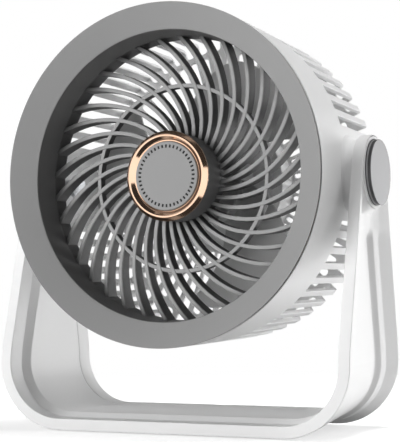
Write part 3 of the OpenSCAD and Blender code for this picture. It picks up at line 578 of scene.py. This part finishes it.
# Rose gold plate on ABS: a polished metal, slightly blurred in patches, pink where it is lit.
rose_gold = clouded("rose gold plated trim", "#ecc4a8", "#f0ccb2", 8, (0.08, 0.13), {"Metallic": 1.0})
ring_outline = [(20.4, 44.5), (26.6, 44.5), (26.6, 45.1), (24.4, 47.4), (23.3, 47.4), (21.2, 45.3),
                (20.4, 45.2)]
plated_ring = spin(rounded(ring_outline, [0.2, 0.2, 0.3, 0.45, 0.45, 0.3, 0.2], 5), 192)
trim = build("trim_ring_plated", (face_on(plated_ring), True, True))
dress(trim, rose_gold, "head", "rose_gold", "trim_ring")

badge_grey = moulded("satin grey badge", "#949494", 0.4, 0.5, 0.01)
badge_r, badge_front, dashes = 20.1, 46.2, 44
dash_step = 360 / dashes


def badge_surface(s, degrees, depth):
    """The badge's flat face: s is how far in from the rim, with the depth below the face."""
    a, r = np.radians(degrees), badge_r - s
    return np.stack([r * np.cos(a), r * np.sin(a), badge_front - depth + 0 * r], -1)


dash_ends = ((1.7, 0.3, 2.6), (3.6, 0.3, 2.6))
dash_cell = slot_cells(badge_surface, lambda s: badge_r - s, lambda s: 0.56 + 0 * s, dash_ends, (0.9, 4.6),
                       np.array([2.3, 2.9]), dash_step, 0.25, 0.04)
outer = [(19.2, badge_front), (19.8, badge_front), (20.0, 46.13), (20.12, 45.95), (20.2, 45.7), (20.2, 44.6),
         (19.2, 44.6), (19.2, 45.95)]
inner = [(15.5, 45.95), (15.5, 44.6), (0, 44.6), (0, badge_front), (15.5, badge_front)]
badge = build(
    "badge_disc_face",
    (face_on(turned(dash_cell, np.arange(dashes) * dash_step)), False, True),
    (face_on(spin(outer, 264)), True, False),
    (face_on(spin(inner, 264)), True, False),
)
dress(badge, badge_grey, "head", "badge_plastic", "badge_disc")
foil_finish = moulded("black foil behind the badge", "#141416", 0.5, 0.5, 0.01)
foil_outline = [(15.6, 45.4), (19.1, 45.4), (19.1, 45.9), (15.6, 45.9)]
foil = build("badge_foil", (face_on(spin(rounded(foil_outline, 0.05, 2), 96)), True, True))
dress(foil, foil_finish, "head", "badge_plastic")

# Stand frame: the white U-shaped band, moulded ABS. A sloped panel with a step is sunk in its outer
# side, a raised border lines the inside along its rear edge, and each arm has a rounded top.

# From the middle to an arm's outer side, the gap under the foot, the outer radius of the corners,
# the band's thickness and the radius of an arm's top.
ARM, FOOT, BEND, THICK, TOP_R = 111.9, 0.8, 40.0, 6.8, 22
down, quarter_turn = PIVOT - FOOT - BEND, BEND * np.pi / 2
half_way = down + quarter_turn + ARM - BEND


def band(l, y, t):
    """A point of the stand: l runs along the band's outer side from the right pivot down the arm,
    round the corner, along the foot and up the other arm, y is front to rear, and t is a depth
    inwards from the outer side, square to it."""
    l, y, t = np.broadcast_arrays(l, y, t)
    k = np.where(l > half_way, 2 * half_way - l, l)
    a = np.clip((k - down) / BEND, 0, np.pi / 2)
    x = ARM - BEND + (BEND - t) * np.cos(a) - np.maximum(k - down - quarter_turn, 0)
    z = PIVOT - np.minimum(k, down) - (BEND - t) * np.sin(a)
    return np.stack([np.where(l > half_way, -x, x), y, z], -1)


def arm_edge(z, foot, tilt):
    """How far an arm's edge is from the tilt axis at a height, and its outward normal (across, up):
    a circle of 22 round the pivot, then its tangent down to the knee at a height of 45, then
    straight down. The knee is eased over 16 mm. At the very top the circle keeps 0.1 micrometre,
    so that nothing is divided by zero there."""
    top = PIVOT + TOP_R * np.sin(tilt)
    circle = np.sqrt(np.maximum(TOP_R**2 - (z - PIVOT) ** 2, 1e-8))
    k = (z - 45) / 16 + 0.5
    eased = np.where(k > 1, z - 45, np.where(k < 0, 0, 8 * k**2))
    line = foot - np.tan(tilt) * eased
    across = np.where(z > top, circle, line)
    lean = np.where(z > top, np.arctan2(z - PIVOT, np.maximum(circle, 1e-9)), tilt * np.clip(k, 0, 1))
    return across, np.cos(lean), np.sin(lean)


def smooth(x):
    """Eases from 0 to 1 as x goes from 0 to 1, level at both ends."""
    x = np.clip(x, 0, 1)
    return x * x * (3 - 2 * x)


# The stations along the band, closer together where its section changes.
arm_heights = np.concatenate([
    PIVOT + TOP_R * np.cos(np.radians([0, 4, 8, 13, 19, 26, 34, 43, 53, 64, 75, 81])),
    np.arange(150.1, 122, -1.2),
    [121.2, 120.7, 120.3, 120.05, 119.9, 119.5, 118.6, 117.8, 117, 116, 115, 114, 112.5, 111, 109.5, 108,
     105, 100, 92, 84, 76, 68, 61, 57, 53, 50, 47, 44, 41],
])
foot_places = np.array([71.9, 60, 45, 25, 12, 9.9, 9.6, 9.4, 9.1, 5, 1.9, 1.6, 1.4, 1.1, 0])
round_corner = down + np.linspace(0, quarter_turn, 19)[:-1]
right_half = np.concatenate([PIVOT - arm_heights, round_corner, half_way - foot_places])
past_middle = half_way + np.array([9.9, 9.6, 9.4, 9.1, -1.9, -1.6, -1.4, -1.1])
stations = np.concatenate([right_half, 2 * half_way - right_half[::-1], past_middle])
stations = np.unique(np.round(stations, 6))[:, None]
# The way from the nearer pivot, rounded so that both arms close alike at their tops.
mirrored = np.round(np.where(stations > half_way, 2 * half_way - stations, stations), 6)
height = np.maximum(PIVOT - mirrored, 40.0)
front, front_n, front_u = arm_edge(height, 50.9, np.radians(14.98))
rear, rear_n, rear_u = arm_edge(height, 40.8, np.radians(9.964))
side_sign = np.where(stations > half_way, -1, 1)
width, ease = front + rear, 0.5
narrow = np.minimum(1, width / 60)


def stand_lines(from_front, from_rear):
    """Lines across a face of the band, from front to rear: distances from its front edge and then
    from its rear edge, drawn in where the arm's top is narrower than at the knee."""
    near = ease + (np.array(from_front) - ease) * narrow
    far = width - ease - (np.array(from_rear) - ease) * narrow
    share = (np.concatenate([near, far], 1) - ease) / np.maximum(width - 2 * ease, 1e-6)
    share = np.clip(np.where(width > 2 * ease, share, 0.5), 0, 1)
    a_l, a_y = stations + side_sign * ease * front_u, -front + ease * front_n
    b_l, b_y = stations + side_sign * ease * rear_u, rear - ease * rear_n
    return a_l + (b_l - a_l) * share, a_y + (b_y - a_y) * share


def edge_round(which, start_t, sign):
    """The eased edge of the band: a quarter circle from a face to the narrow side, at each station."""
    f = np.radians(np.linspace(0, 90, 6))[None]
    inset, deep = ease * (1 - np.sin(f)), start_t + sign * ease * (1 - np.cos(f))
    across, n, u = (-front, -front_n, front_u) if which == "front" else (rear, rear_n, rear_u)
    return stations + side_sign * inset * u, across - inset * n, deep + 0 * stations


# The outer face: a panel that slopes in from the front edge to 5.2 deep, a step up to 3.3, a narrow
# bright strip and a border that slopes back out to the rear edge. The step fades out towards the
# pivot, and a small pocket lies in front of the cap, behind the front lip.
l_out, y_out = stand_lines(
    [ease, 0.9, 1.6, 2.6, 3.6, 4.2, 4.5, 4.8, 5.3, 6, 7, 8, 9, 10, 11, 12, 13.5, 15, 17, 20],
    [38, 34, 31.6, 31.0, 30.4, 29.2, 28, 26.6, 25.2, 24.6, 24.0, 20.5, 17, 16.4, 15.8, 15.2, 12, 8, 5, 2.4,
     1.6, 0.9, ease])
behind, before, wide = (rear - y_out) / narrow, (y_out + front) / narrow, width / narrow
inward = np.clip((before - 0.9) / (wide - 32), 0, 1)
stepped = np.interp(behind, [0.9, 1.6, 15.4, 16.2, 24.2, 25, 29.6, 30.8],
                    [0, 0.1, 2.9, 3.0, 3.3, 3.45, 5.0, 5.2])
plain_side = np.interp(behind, [0.9, 1.6, 14, 24, 26], [0, 0.08, 1.9, 2.55, 2.6])
below = smooth((PIVOT - 31 - height) / 7)
t_out = np.minimum(stepped, 5.2 * inward) * below + np.minimum(plain_side, 2.6 * inward) * (1 - below)
from_cap, from_lip = np.hypot(y_out, mirrored), y_out + front
pocket = smooth((from_lip - 4.2) / 0.6) * smooth((PIVOT - 5 - height) / 5)
pocket = pocket * smooth((height - (PIVOT - 24.5)) / 1.4)
pocket = pocket * smooth((from_cap - 19.3) / 1.5) * smooth((1 - y_out) / 3)
t_out = t_out + (np.maximum(2.2 - 0.16 * (from_lip - 4.7), 0.3) - t_out) * pocket

# The inner face: a border 2.6 high along the rear edge that starts 30 mm below the pivot, with a
# shallow notch in its edge near the middle of the foot.
inner_rear = [40, 25, 14.2, 13.62, 13.42, 13.34, 13.2, 12.9, 10, 6, 3.5, 2.3, 2.0, 1.7, ease]
l_in, y_in = stand_lines([ease, 4, 9, 14], inner_rear)
raised = np.array([0, 0, 0, 0, 0, 0, 0, 0, 0.08, 0.85, 0.97, 1, 1, 1, 1, 1, 1, 1, 1])
border = 2.6 * smooth((PIVOT - 30 - height + 0.5) / 1.1)
along_foot = side_sign * (half_way - mirrored)
notch = 0.9 * smooth((along_foot + 9.75) / 0.4) * smooth((1.65 - along_foot) / 0.4)
notch = notch * (mirrored > down + quarter_turn)
near_rear = smooth((2.25 - np.array([99] * 4 + inner_rear)) / 0.5)[None]
t_in = THICK + border * raised[None] - notch * near_rear

round_the_band = [
    (l_out, y_out, t_out),
    edge_round("rear", 0.0, 1),
    [g[:, ::-1] for g in edge_round("rear", t_in[:, -1:], -1)],
    [g[:, ::-1] for g in (l_in, y_in, t_in)],
    edge_round("front", THICK, -1),
    [g[:, ::-1] for g in edge_round("front", 0.0, 1)],
]
l_y_t = zip(*[np.broadcast_arrays(*stretch) for stretch in round_the_band])
frame_grid = band(*[np.concatenate(columns, 1) for columns in l_y_t])
cap_seat = rounded([(19.3, 109.2), (20.9, 109.2), (20.9, 112.3), (19.3, 112.3)], 0.2, 3)
stand = build(
    "stand_frame_band",
    (frame_grid, False, True),
    (side_on(spin(cap_seat, 120), 1), True, True),
    (side_on(spin(cap_seat, 120), -1), True, True),
)
dress(stand, white_abs, "stand", "white_plastic", "stand_frame")

# Inner cover: the raised U-shaped panel that lines the band and closes the ballast well, moulded
# ABS, screwed from below. Its front and top edges slope over 7 mm, and its rear edge is a fine gap.
cover_rise = np.array([0, 0, 0.05, 0.16, 0.5, 0.86, 0.97, 1, 1, 1, 1, 1, 1, 1, 0.96, 0.8, 0.5, 0])
cover_lines = stand_lines([11.9, 12.0, 12.4, 13.2, 15.5, 17.8, 18.6, 19.0, 19.4, 26],
                          [40, 25, 14.5, 14.0, 13.75, 13.65, 13.6, 13.6])
keep = (height < 119.95)[:, 0]
l_c, y_c = (g[keep] for g in cover_lines)
fall = smooth((PIVOT - 30.15 - height[keep]) / 6.0)
t_c = THICK - 0.1 + 2.68 * np.minimum(cover_rise[None], fall)
cover_grid = band(np.concatenate([l_c, l_c[:, ::-1]], 1), np.concatenate([y_c, y_c[:, ::-1]], 1),
                  np.concatenate([t_c, THICK - 0.7 + 0 * t_c], 1))
ends = cover_grid[[0, -1]].mean(1, keepdims=True).repeat(cover_grid.shape[1], 1)
liner = build("stand_inner_cover_panel", (np.concatenate([ends[:1], cover_grid, ends[1:]]), False, True))
dress(liner, white_abs, "stand", "white_plastic", "stand_inner_cover")

# Pivot caps: round covers that snap into the arms over the pivot screws, painted satin silver. Their
# side wall is dark grey as painted shade, with a lighter band on its ridge as a painted highlight.
silver_paint, t, here = new_finish("satin silver paint on the caps")
flake = add(t, "TexNoise", {"Vector": here, "Scale": 1000 / 0.5, "Detail": 2})
tint = add(t, "Mix", {0: flake, 6: colour("#78787a"), 7: colour("#7e7e80")}, data_type="RGBA")
relief = add(t, "Bump", {"Strength": 0.3, "Distance": 0.00001, "Height": flake})
out = add(t, "Math", {0: add(t, "SeparateXYZ", {0: here})}, operation="ABSOLUTE")
face = add(t, "MapRange", {"Value": out, "From Min": 0.1152, "From Max": 0.11535})
# Painted highlight: a lighter band on the ridge of the wall; the rest of the wall is dark grey as painted
# shade.
ridge_highlight = add(t, "Math", {0: out, 1: 0.1131, 2: 0.00055}, operation="COMPARE")
wall = add(t, "Mix", {0: ridge_highlight, 6: colour("#505052"), 7: colour("#989899")}, data_type="RGBA")
two = add(t, "Mix", {0: face, 6: wall, 7: tint}, data_type="RGBA")
shade = add(t, "BsdfPrincipled", {"Metallic": 0.25, "Roughness": 0.42, "Base Color": two, "Normal": relief})
add(t, "OutputMaterial", {"Surface": shade})
cap_outline = [(0, 115.55), (19, 115.55), (19, 115.05), (18.7, 114.85), (18.7, 113.8), (19, 113.6),
               (19, 111.95), (14.8, 111.95), (14.8, 109.4), (12.6, 109.4), (12.6, 113.6), (0, 113.6)]
cap_shape = spin(rounded(cap_outline, [0, 0.45, 0.1, 0.1, 0.1, 0.1, 0.2, 0.2, 0.3, 0.2, 0.3, 0], 6), 144)
for side, node in ((1, "pivot_cap_right"), (-1, "pivot_cap_left")):
    cap = build(node + "_disc", (side_on(cap_shape, side), True, False))
    dress(cap, silver_paint, "stand", "cap_metal", node)

# Rubber feet: two moulded strips glued under the foot at the front and two at the rear.
rubber = moulded("black nitrile rubber", "#2b2b2b", 0.75, 0.6, 0.04)


def slab(x, y, z, ease, round_corner=1.5):
    """A block with eased edges: its rounded outline shrinks to the inset at the bottom and top
    by quarter circles, and both faces close on their middle points."""
    f = np.radians(np.linspace(0, 90, 5))
    inset = np.concatenate([[1e3], ease * (1 - np.sin(f)), ease * (1 - np.cos(f)), [1e3]])
    level = np.concatenate([[z[0]], z[0] + ease * (1 - np.cos(f)), z[1] - ease * (1 - np.sin(f)), [z[1]]])
    loop = rounded([(x[0], y[0]), (x[1], y[0]), (x[1], y[1]), (x[0], y[1])], round_corner, 5)
    middle = np.array([np.mean(x), np.mean(y)])
    half = np.array([x[1] - x[0], y[1] - y[0]]) / 2
    scale = np.maximum(1 - inset[:, None, None] / half, 0)
    flat = middle + (loop - middle)[None] * scale
    return np.concatenate([flat, np.broadcast_to(level[:, None, None], (*flat.shape[:2], 1))], -1)


pads = [slab((side * 45 - 20, side * 45 + 20), y, (0.0, top), 0.3) for side in (-1, 1)
        for y, top in (((-44, -34), 3.15), ((24, 34), 1.95))]
feet = build("rubber_feet_strips", *[(pad, False, True) for pad in pads])
dress(feet, rubber, "stand", "rubber", "rubber_feet")

# Impeller: three wide blades on a hub, one smooth grey moulding in glass-filled polypropylene,
# pushed on the motor's can and held by the nut. It turns clockwise seen from the front.
fan_grey = moulded("grey glass-filled polypropylene", "#c2c2c2", 0.42, 0.9, 0.02)


def blade(hub_r=24.2, tip_r=78.0, nose=0.95, tip_corner=9):
    """One blade: between its leading and trailing angles it climbs evenly from 24 mm behind the
    tilt axis to 7 mm. Its thickness follows a half circle at every edge, and the two corners of
    its tip are rounded with a radius of 9 mm."""
    close = np.array([0, 0.001, 0.003, 0.006, 0.011, 0.02])
    from_tip = np.array([8, 6, 4, 2.5, 1.4, 0.9, 0.5, 0.25, 0.1, 0])
    r = np.concatenate([np.linspace(hub_r, tip_r - 10, 11), tip_r - from_tip])[:, None]
    part = (r - 25) / 53
    trail = 76 + 45 * (1 - part)
    lead = trail - 62 - 14 * (1 - part)
    span = np.radians(trail - lead) * r
    c = np.concatenate([close, np.linspace(0.05, 0.95, 15), 1 - close[::-1]])[None]
    near = np.clip(tip_corner - (tip_r - r), 0, tip_corner)
    cut = (tip_corner - np.sqrt(tip_corner**2 - near**2)) / span
    c = cut + (1 - 2 * cut) * c
    edge = np.minimum(c - cut, 1 - cut - c) * span
    swell = np.sqrt(np.clip(1 - (1 - np.clip(edge / nose, 0, 1)) ** 2, 0, 1))
    swell = swell * np.sqrt(np.clip(1 - (1 - np.clip((tip_r - r) / nose, 0, 1)) ** 2, 0, 1))
    a = np.radians(lead + (trail - lead) * c)
    z = -24.05 + 17.1 * c
    upper = np.stack([r * np.cos(a), r * np.sin(a), z + nose * swell], -1)
    lower = np.stack([r * np.cos(a), r * np.sin(a), z - nose * swell], -1)
    sheet = np.concatenate([upper, lower[:, ::-1]], 1)
    root = sheet[:1].mean(1, keepdims=True).repeat(sheet.shape[1], 1)
    return np.concatenate([root, sheet])


hub_outline = [(1.55, 5.5), (25, 5.5), (25, 26.3), (22.8, 26.3), (22.8, 8.5), (20, 8.5), (20, 26.3),
               (18.45, 26.3), (18.45, 8.5), (1.55, 8.5)]
fan_hub = spin(rounded(hub_outline, [0.1, 1.2, 0.3, 0.3, 0.3, 0.3, 0.3, 0.3, 0.3, 0.1], 4), 120)
blades = face_on(turned(blade(), [0, 120, 240]))
wheel = build("impeller_wheel", (blades, False, True), (rear_on(fan_hub), True, True))
dress(wheel, fan_grey, "rotor", "impeller_plastic", "impeller")

# Rear cover: the round cover over the board, white ABS, held by four screws in counterbores. It has
# an opening for the button, the charging socket and each of the four lights.
cover_top, cover_under = 58.7, 56.9
skirt = [(41.0, cover_top), (43, cover_top), (43, 50), (40.8, 50), (40.8, cover_under), (40.4, cover_under)]
skirt_ring = rear_on(spin(rounded(skirt, [0, 1.1, 0.25, 0.2, 0.4, 0], 5)[5:-5], 144))


def opening(x, z, w, h, path, count=48):
    """The wall of a round-ended opening w by h in the cover, centred at x and z from the axis: an
    oval at each step of the path, which gives how much wider it is there and its depth y."""
    a = np.radians((np.arange(count) + 0.5) * 360 / count)[None]
    grow, y = np.asarray(path, float).T[..., None]
    r = h / 2 + grow
    across = x + r * np.cos(a) + np.sign(np.cos(a)) * (w - h) / 2
    return rear_on(np.stack([across, z + r * np.sin(a), y + 0 * a], -1))


def eased_hole(lip):
    """The path through the cover's wall, with both rims rounded by a quarter circle."""
    f = np.radians(np.linspace(0, 90, 5))
    top = np.stack([lip * (1 - np.sin(f)), cover_top - lip * (1 - np.cos(f))], -1)
    return np.concatenate([top, [[0, cover_under + 0.15], [0.15, cover_under]]])


counterbore = [(0, cover_under), (-1.3, cover_under), (-1.3, 50), (0.7, 50), (0.7, 56.6), (1.0, cover_under)]
seat = np.concatenate([eased_hole(0.3)[:5], counterbore])
openings = [opening(0, 0, 12.16, 12.16, eased_hole(0.35), 72), opening(0, -20, 9.4, 3.7, eased_hole(0.3))]
openings += [opening(x, 14, 2.7, 2.7, eased_hole(0.2), 24) for x in (-7.5, -2.5, 2.5, 7.5)]
openings += [opening(x, z, 5.4, 5.4, seat) for x, z, _ in cover_bosses[:, 0, 0]]
cover = build(
    "rear_cover_moulding",
    (skirt_ring, True, False),
    *[(hole, False, True) for hole in openings],
    fills=[[skirt_ring[:, face]] + [hole[face] for hole in openings] for face in (0, -1)],
)
dress(cover, white_abs, "head", "white_plastic", "rear_hub_cover")

# Power button: white ABS with a dished top and a flange that keeps it behind the cover. Its stem
# reaches the plunger of the tact switch.
button_outline = [(0, 58.05), (4.9, 58.4), (6.0, 58.4), (6.0, 56.9), (7.4, 56.9), (7.4, 55.7), (1.75, 55.7),
                  (1.75, 54.6), (0, 54.6)]
button_shape = spin(rounded(button_outline, [0, 1.2, 0.45, 0.15, 0.2, 0.2, 0.2, 0.15, 0], 5), 96)
knob = build("power_button_cap", (rear_on(button_shape), True, False))
dress(knob, white_abs, "button", "white_plastic", "power_button")

# Charging socket: a drawn steel shell, nickel plated, with a black tongue that carries the contacts.
# The drawing marks run through the socket, 0.15 mm apart.
nickel, t, here = new_finish("nickel plated drawn steel")
drawn = add(t, "Mapping", {"Vector": here, "Scale": (1, 0.04, 1)})
lines = add(t, "TexNoise", {"Vector": drawn, "Scale": 1000 / 0.15, "Detail": 2})
gloss = add(t, "MapRange", {"Value": lines, "To Min": 0.22, "To Max": 0.36})
relief = add(t, "Bump", {"Strength": 0.3, "Distance": 0.000004, "Height": lines})
shade = add(t, "BsdfPrincipled", {"Metallic": 1.0, "Base Color": colour("#c9c5bd"), "Roughness": gloss,
                                  "Normal": relief})
add(t, "OutputMaterial", {"Surface": shade})
shell_path = [(-1.65, 52.2), (0, 52.2), (0, 58.3), (-0.03, 58.43), (-0.12, 58.5), (-0.28, 58.5),
              (-0.37, 58.43), (-0.4, 58.3), (-0.4, 52.9), (-1.65, 52.9)]
socket = build("usb_socket_shell", (opening(0, -20, 9.0, 3.3, shell_path), False, True))
dress(socket, nickel, "head", "zinc_steel", "usb_socket")

# The tongue: black liquid crystal polymer with a row of gold contacts 0.5 mm apart.
tongue_finish, t, here = new_finish("black polymer tongue with gold contacts")
pitch = add(t, "Math", {0: add(t, "SeparateXYZ", {0: here}), 1: 2 * np.pi / 0.0005}, operation="MULTIPLY")
gilt = add(t, "Math", {0: add(t, "Math", {0: pitch}, operation="COSINE"), 1: 0.2}, operation="GREATER_THAN")
tint = add(t, "Mix", {0: gilt, 6: colour("#1b1b1c"), 7: colour("#d9b25f")}, data_type="RGBA")
shade = add(t, "BsdfPrincipled", {"Roughness": 0.35, "Base Color": tint, "Metallic": gilt})
add(t, "OutputMaterial", {"Surface": shade})
tongue_path = [(-0.35, 57.2), (-0.1, 57.2), (0, 57.1), (0, 52.5), (-0.35, 52.5)]
tongue = build("usb_socket_tongue", (opening(0, -20, 6.6, 0.7, tongue_path), False, True))
dress(tongue, tongue_finish, "head", "dark_plastic")


# Screws, washers, posts and nut: steel with bright zinc plate, a faintly mottled cold grey metal.
def worked(name, code, rough, size, depth, stretch=(1, 1, 1), turned_about_axis=False):
    """Worked metal: a noise of the given size in mm, drawn out by 'stretch', steers its gloss and
    its relief. Turned metal takes the noise on (distance from the fan's axis, depth), so its marks
    run round the axis."""
    finish, t, here = new_finish(name)
    if turned_about_axis:
        centred = add(t, "Mapping", {"Vector": here, "Location": (0, 0, -PIVOT / 1000), "Scale": (1, 0, 1)})
        radius = add(t, "VectorMath", {0: centred}, operation="LENGTH")
        here = add(t, "CombineXYZ", {0: radius, 1: add(t, "SeparateXYZ", {0: here}).outputs[1]})
    drawn = add(t, "Mapping", {"Vector": here, "Scale": stretch})
    marks = add(t, "TexNoise", {"Vector": drawn, "Scale": 1000 / size, "Detail": 3})
    gloss = add(t, "MapRange", {"Value": marks, "From Min": 0.3, "From Max": 0.7,
                                "To Min": rough - 0.07, "To Max": rough + 0.09})
    relief = add(t, "Bump", {"Strength": 0.4, "Distance": depth / 1000, "Height": marks})
    shade = add(t, "BsdfPrincipled", {"Metallic": 1.0, "Base Color": colour(code), "Roughness": gloss,
                                      "Normal": relief})
    add(t, "OutputMaterial", {"Surface": shade})
    return finish


def coat(finish, *names):
    """Gives a finish to CAD nodes that are shown as they are."""
    for name in names:
        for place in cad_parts[name].material_slots:
            place.material = finish


zinc_plate = worked("bright zinc plated steel", "#c3c5c8", 0.32, 0.6, 0.003)
coat(zinc_plate, "pivot_post_left", "pivot_post_right", "wave_washers", "retaining_washers",
     "pivot_screws", "bezel_screws", "motor_screws", "tray_screws", "board_screws", "cover_screws",
     "stand_screws", "impeller_nut")

# Ballast plate: hot rolled steel, dark with mill scale in patches a few millimetres across.
coat(worked("hot rolled steel with mill scale", "#6a6c70", 0.55, 5, 0.02), "ballast_plate")

# Friction washers: thin nylon washers between the drum's bosses and the arms.
coat(moulded("natural nylon", "#dedcd2", 0.5, 0.6, 0.01), "friction_washers")

# Motor: a turned aluminium base with the bearing tube, ball bearings and a ground shaft, a core of
# stacked steel sheets with nine enamelled coils, and a can with its magnet in black plated steel.
coat(worked("turned aluminium", "#cfd0d2", 0.3, 0.25, 0.004, turned_about_axis=True), "motor_base")
ground_steel = worked("ground bearing steel", "#b9bbbe", 0.2, 0.2, 0.001, turned_about_axis=True)
coat(ground_steel, "motor_bearings", "motor_shaft")
black_plate = worked("black nickel plated steel", "#3a3b3e", 0.35, 0.4, 0.002, turned_about_axis=True)
coat(black_plate, "rotor_can", "rotor_magnet", "shaft_clip")
lamination = worked("stacked steel laminations, 0.5 mm sheets", "#8b8d92", 0.45, 0.5, 0.05, (0.02, 1, 0.02))
coat(lamination, "stator_core")
enamelled = worked("enamelled copper wire, 0.3 mm", "#c0703f", 0.28, 0.3, 0.08, (1, 0.1, 1))
coat(enamelled, "stator_coils")
coat(moulded("black PVC insulation", "#1c1c1d", 0.4, 0.5, 0.01), "motor_leads")

# Cells, tray and leads: two lithium cells in blue PVC sleeves, a black ABS tray and red leads.
coat(moulded("blue shrink sleeve on the cells", "#2d66a5", 0.25, 3, 0.02), "battery_cells")
black_abs = moulded("black ABS, as moulded", "#222224", 0.4, 0.6, 0.02)
coat(black_abs, "battery_tray", "tact_switch", "switch_plunger")
coat(moulded("red PVC insulation", "#a01c1c", 0.4, 0.5, 0.01), "battery_leads")

# Control board: glass fibre with a green solder mask. Its traces show as paler lines 0.3 mm wide,
# 1.27 mm apart, which a broad noise breaks off into groups.
mask, t, here = new_finish("green solder mask over copper traces")
groups = add(t, "TexNoise", {"Vector": here, "Scale": 1000 / 6, "Detail": 0})
trace_spacing = 1.27
waves = add(t, "TexWave", {"Vector": here, "Scale": 1000 / trace_spacing / 20 * np.pi, "Distortion": 0},
            bands_direction="X")
line = add(t, "Math", {0: waves.outputs["Fac"], 1: 0.8}, operation="GREATER_THAN")
some = add(t, "Math", {0: groups, 1: 0.5}, operation="GREATER_THAN")
trace = add(t, "Math", {0: line, 1: some}, operation="MULTIPLY")
tint = add(t, "Mix", {0: trace, 6: colour("#14532d"), 7: colour("#2c7a48")}, data_type="RGBA")
relief = add(t, "Bump", {"Strength": 0.4, "Distance": 0.00003, "Height": trace})
shade = add(t, "BsdfPrincipled", {"Roughness": 0.3, "IOR": 1.5, "Base Color": tint, "Normal": relief})
add(t, "OutputMaterial", {"Surface": shade})
coat(mask, "control_board")

# Indicator lights: four short light pipes in milky polycarbonate, pushed through the cover.
milky = clouded("milky polycarbonate light pipe", "#dfe9ea", "#eef4f4", 0.8, (0.3, 0.5),
                {"IOR": 1.58, "Transmission Weight": 0.5})
coat(milky, "indicator_lights")
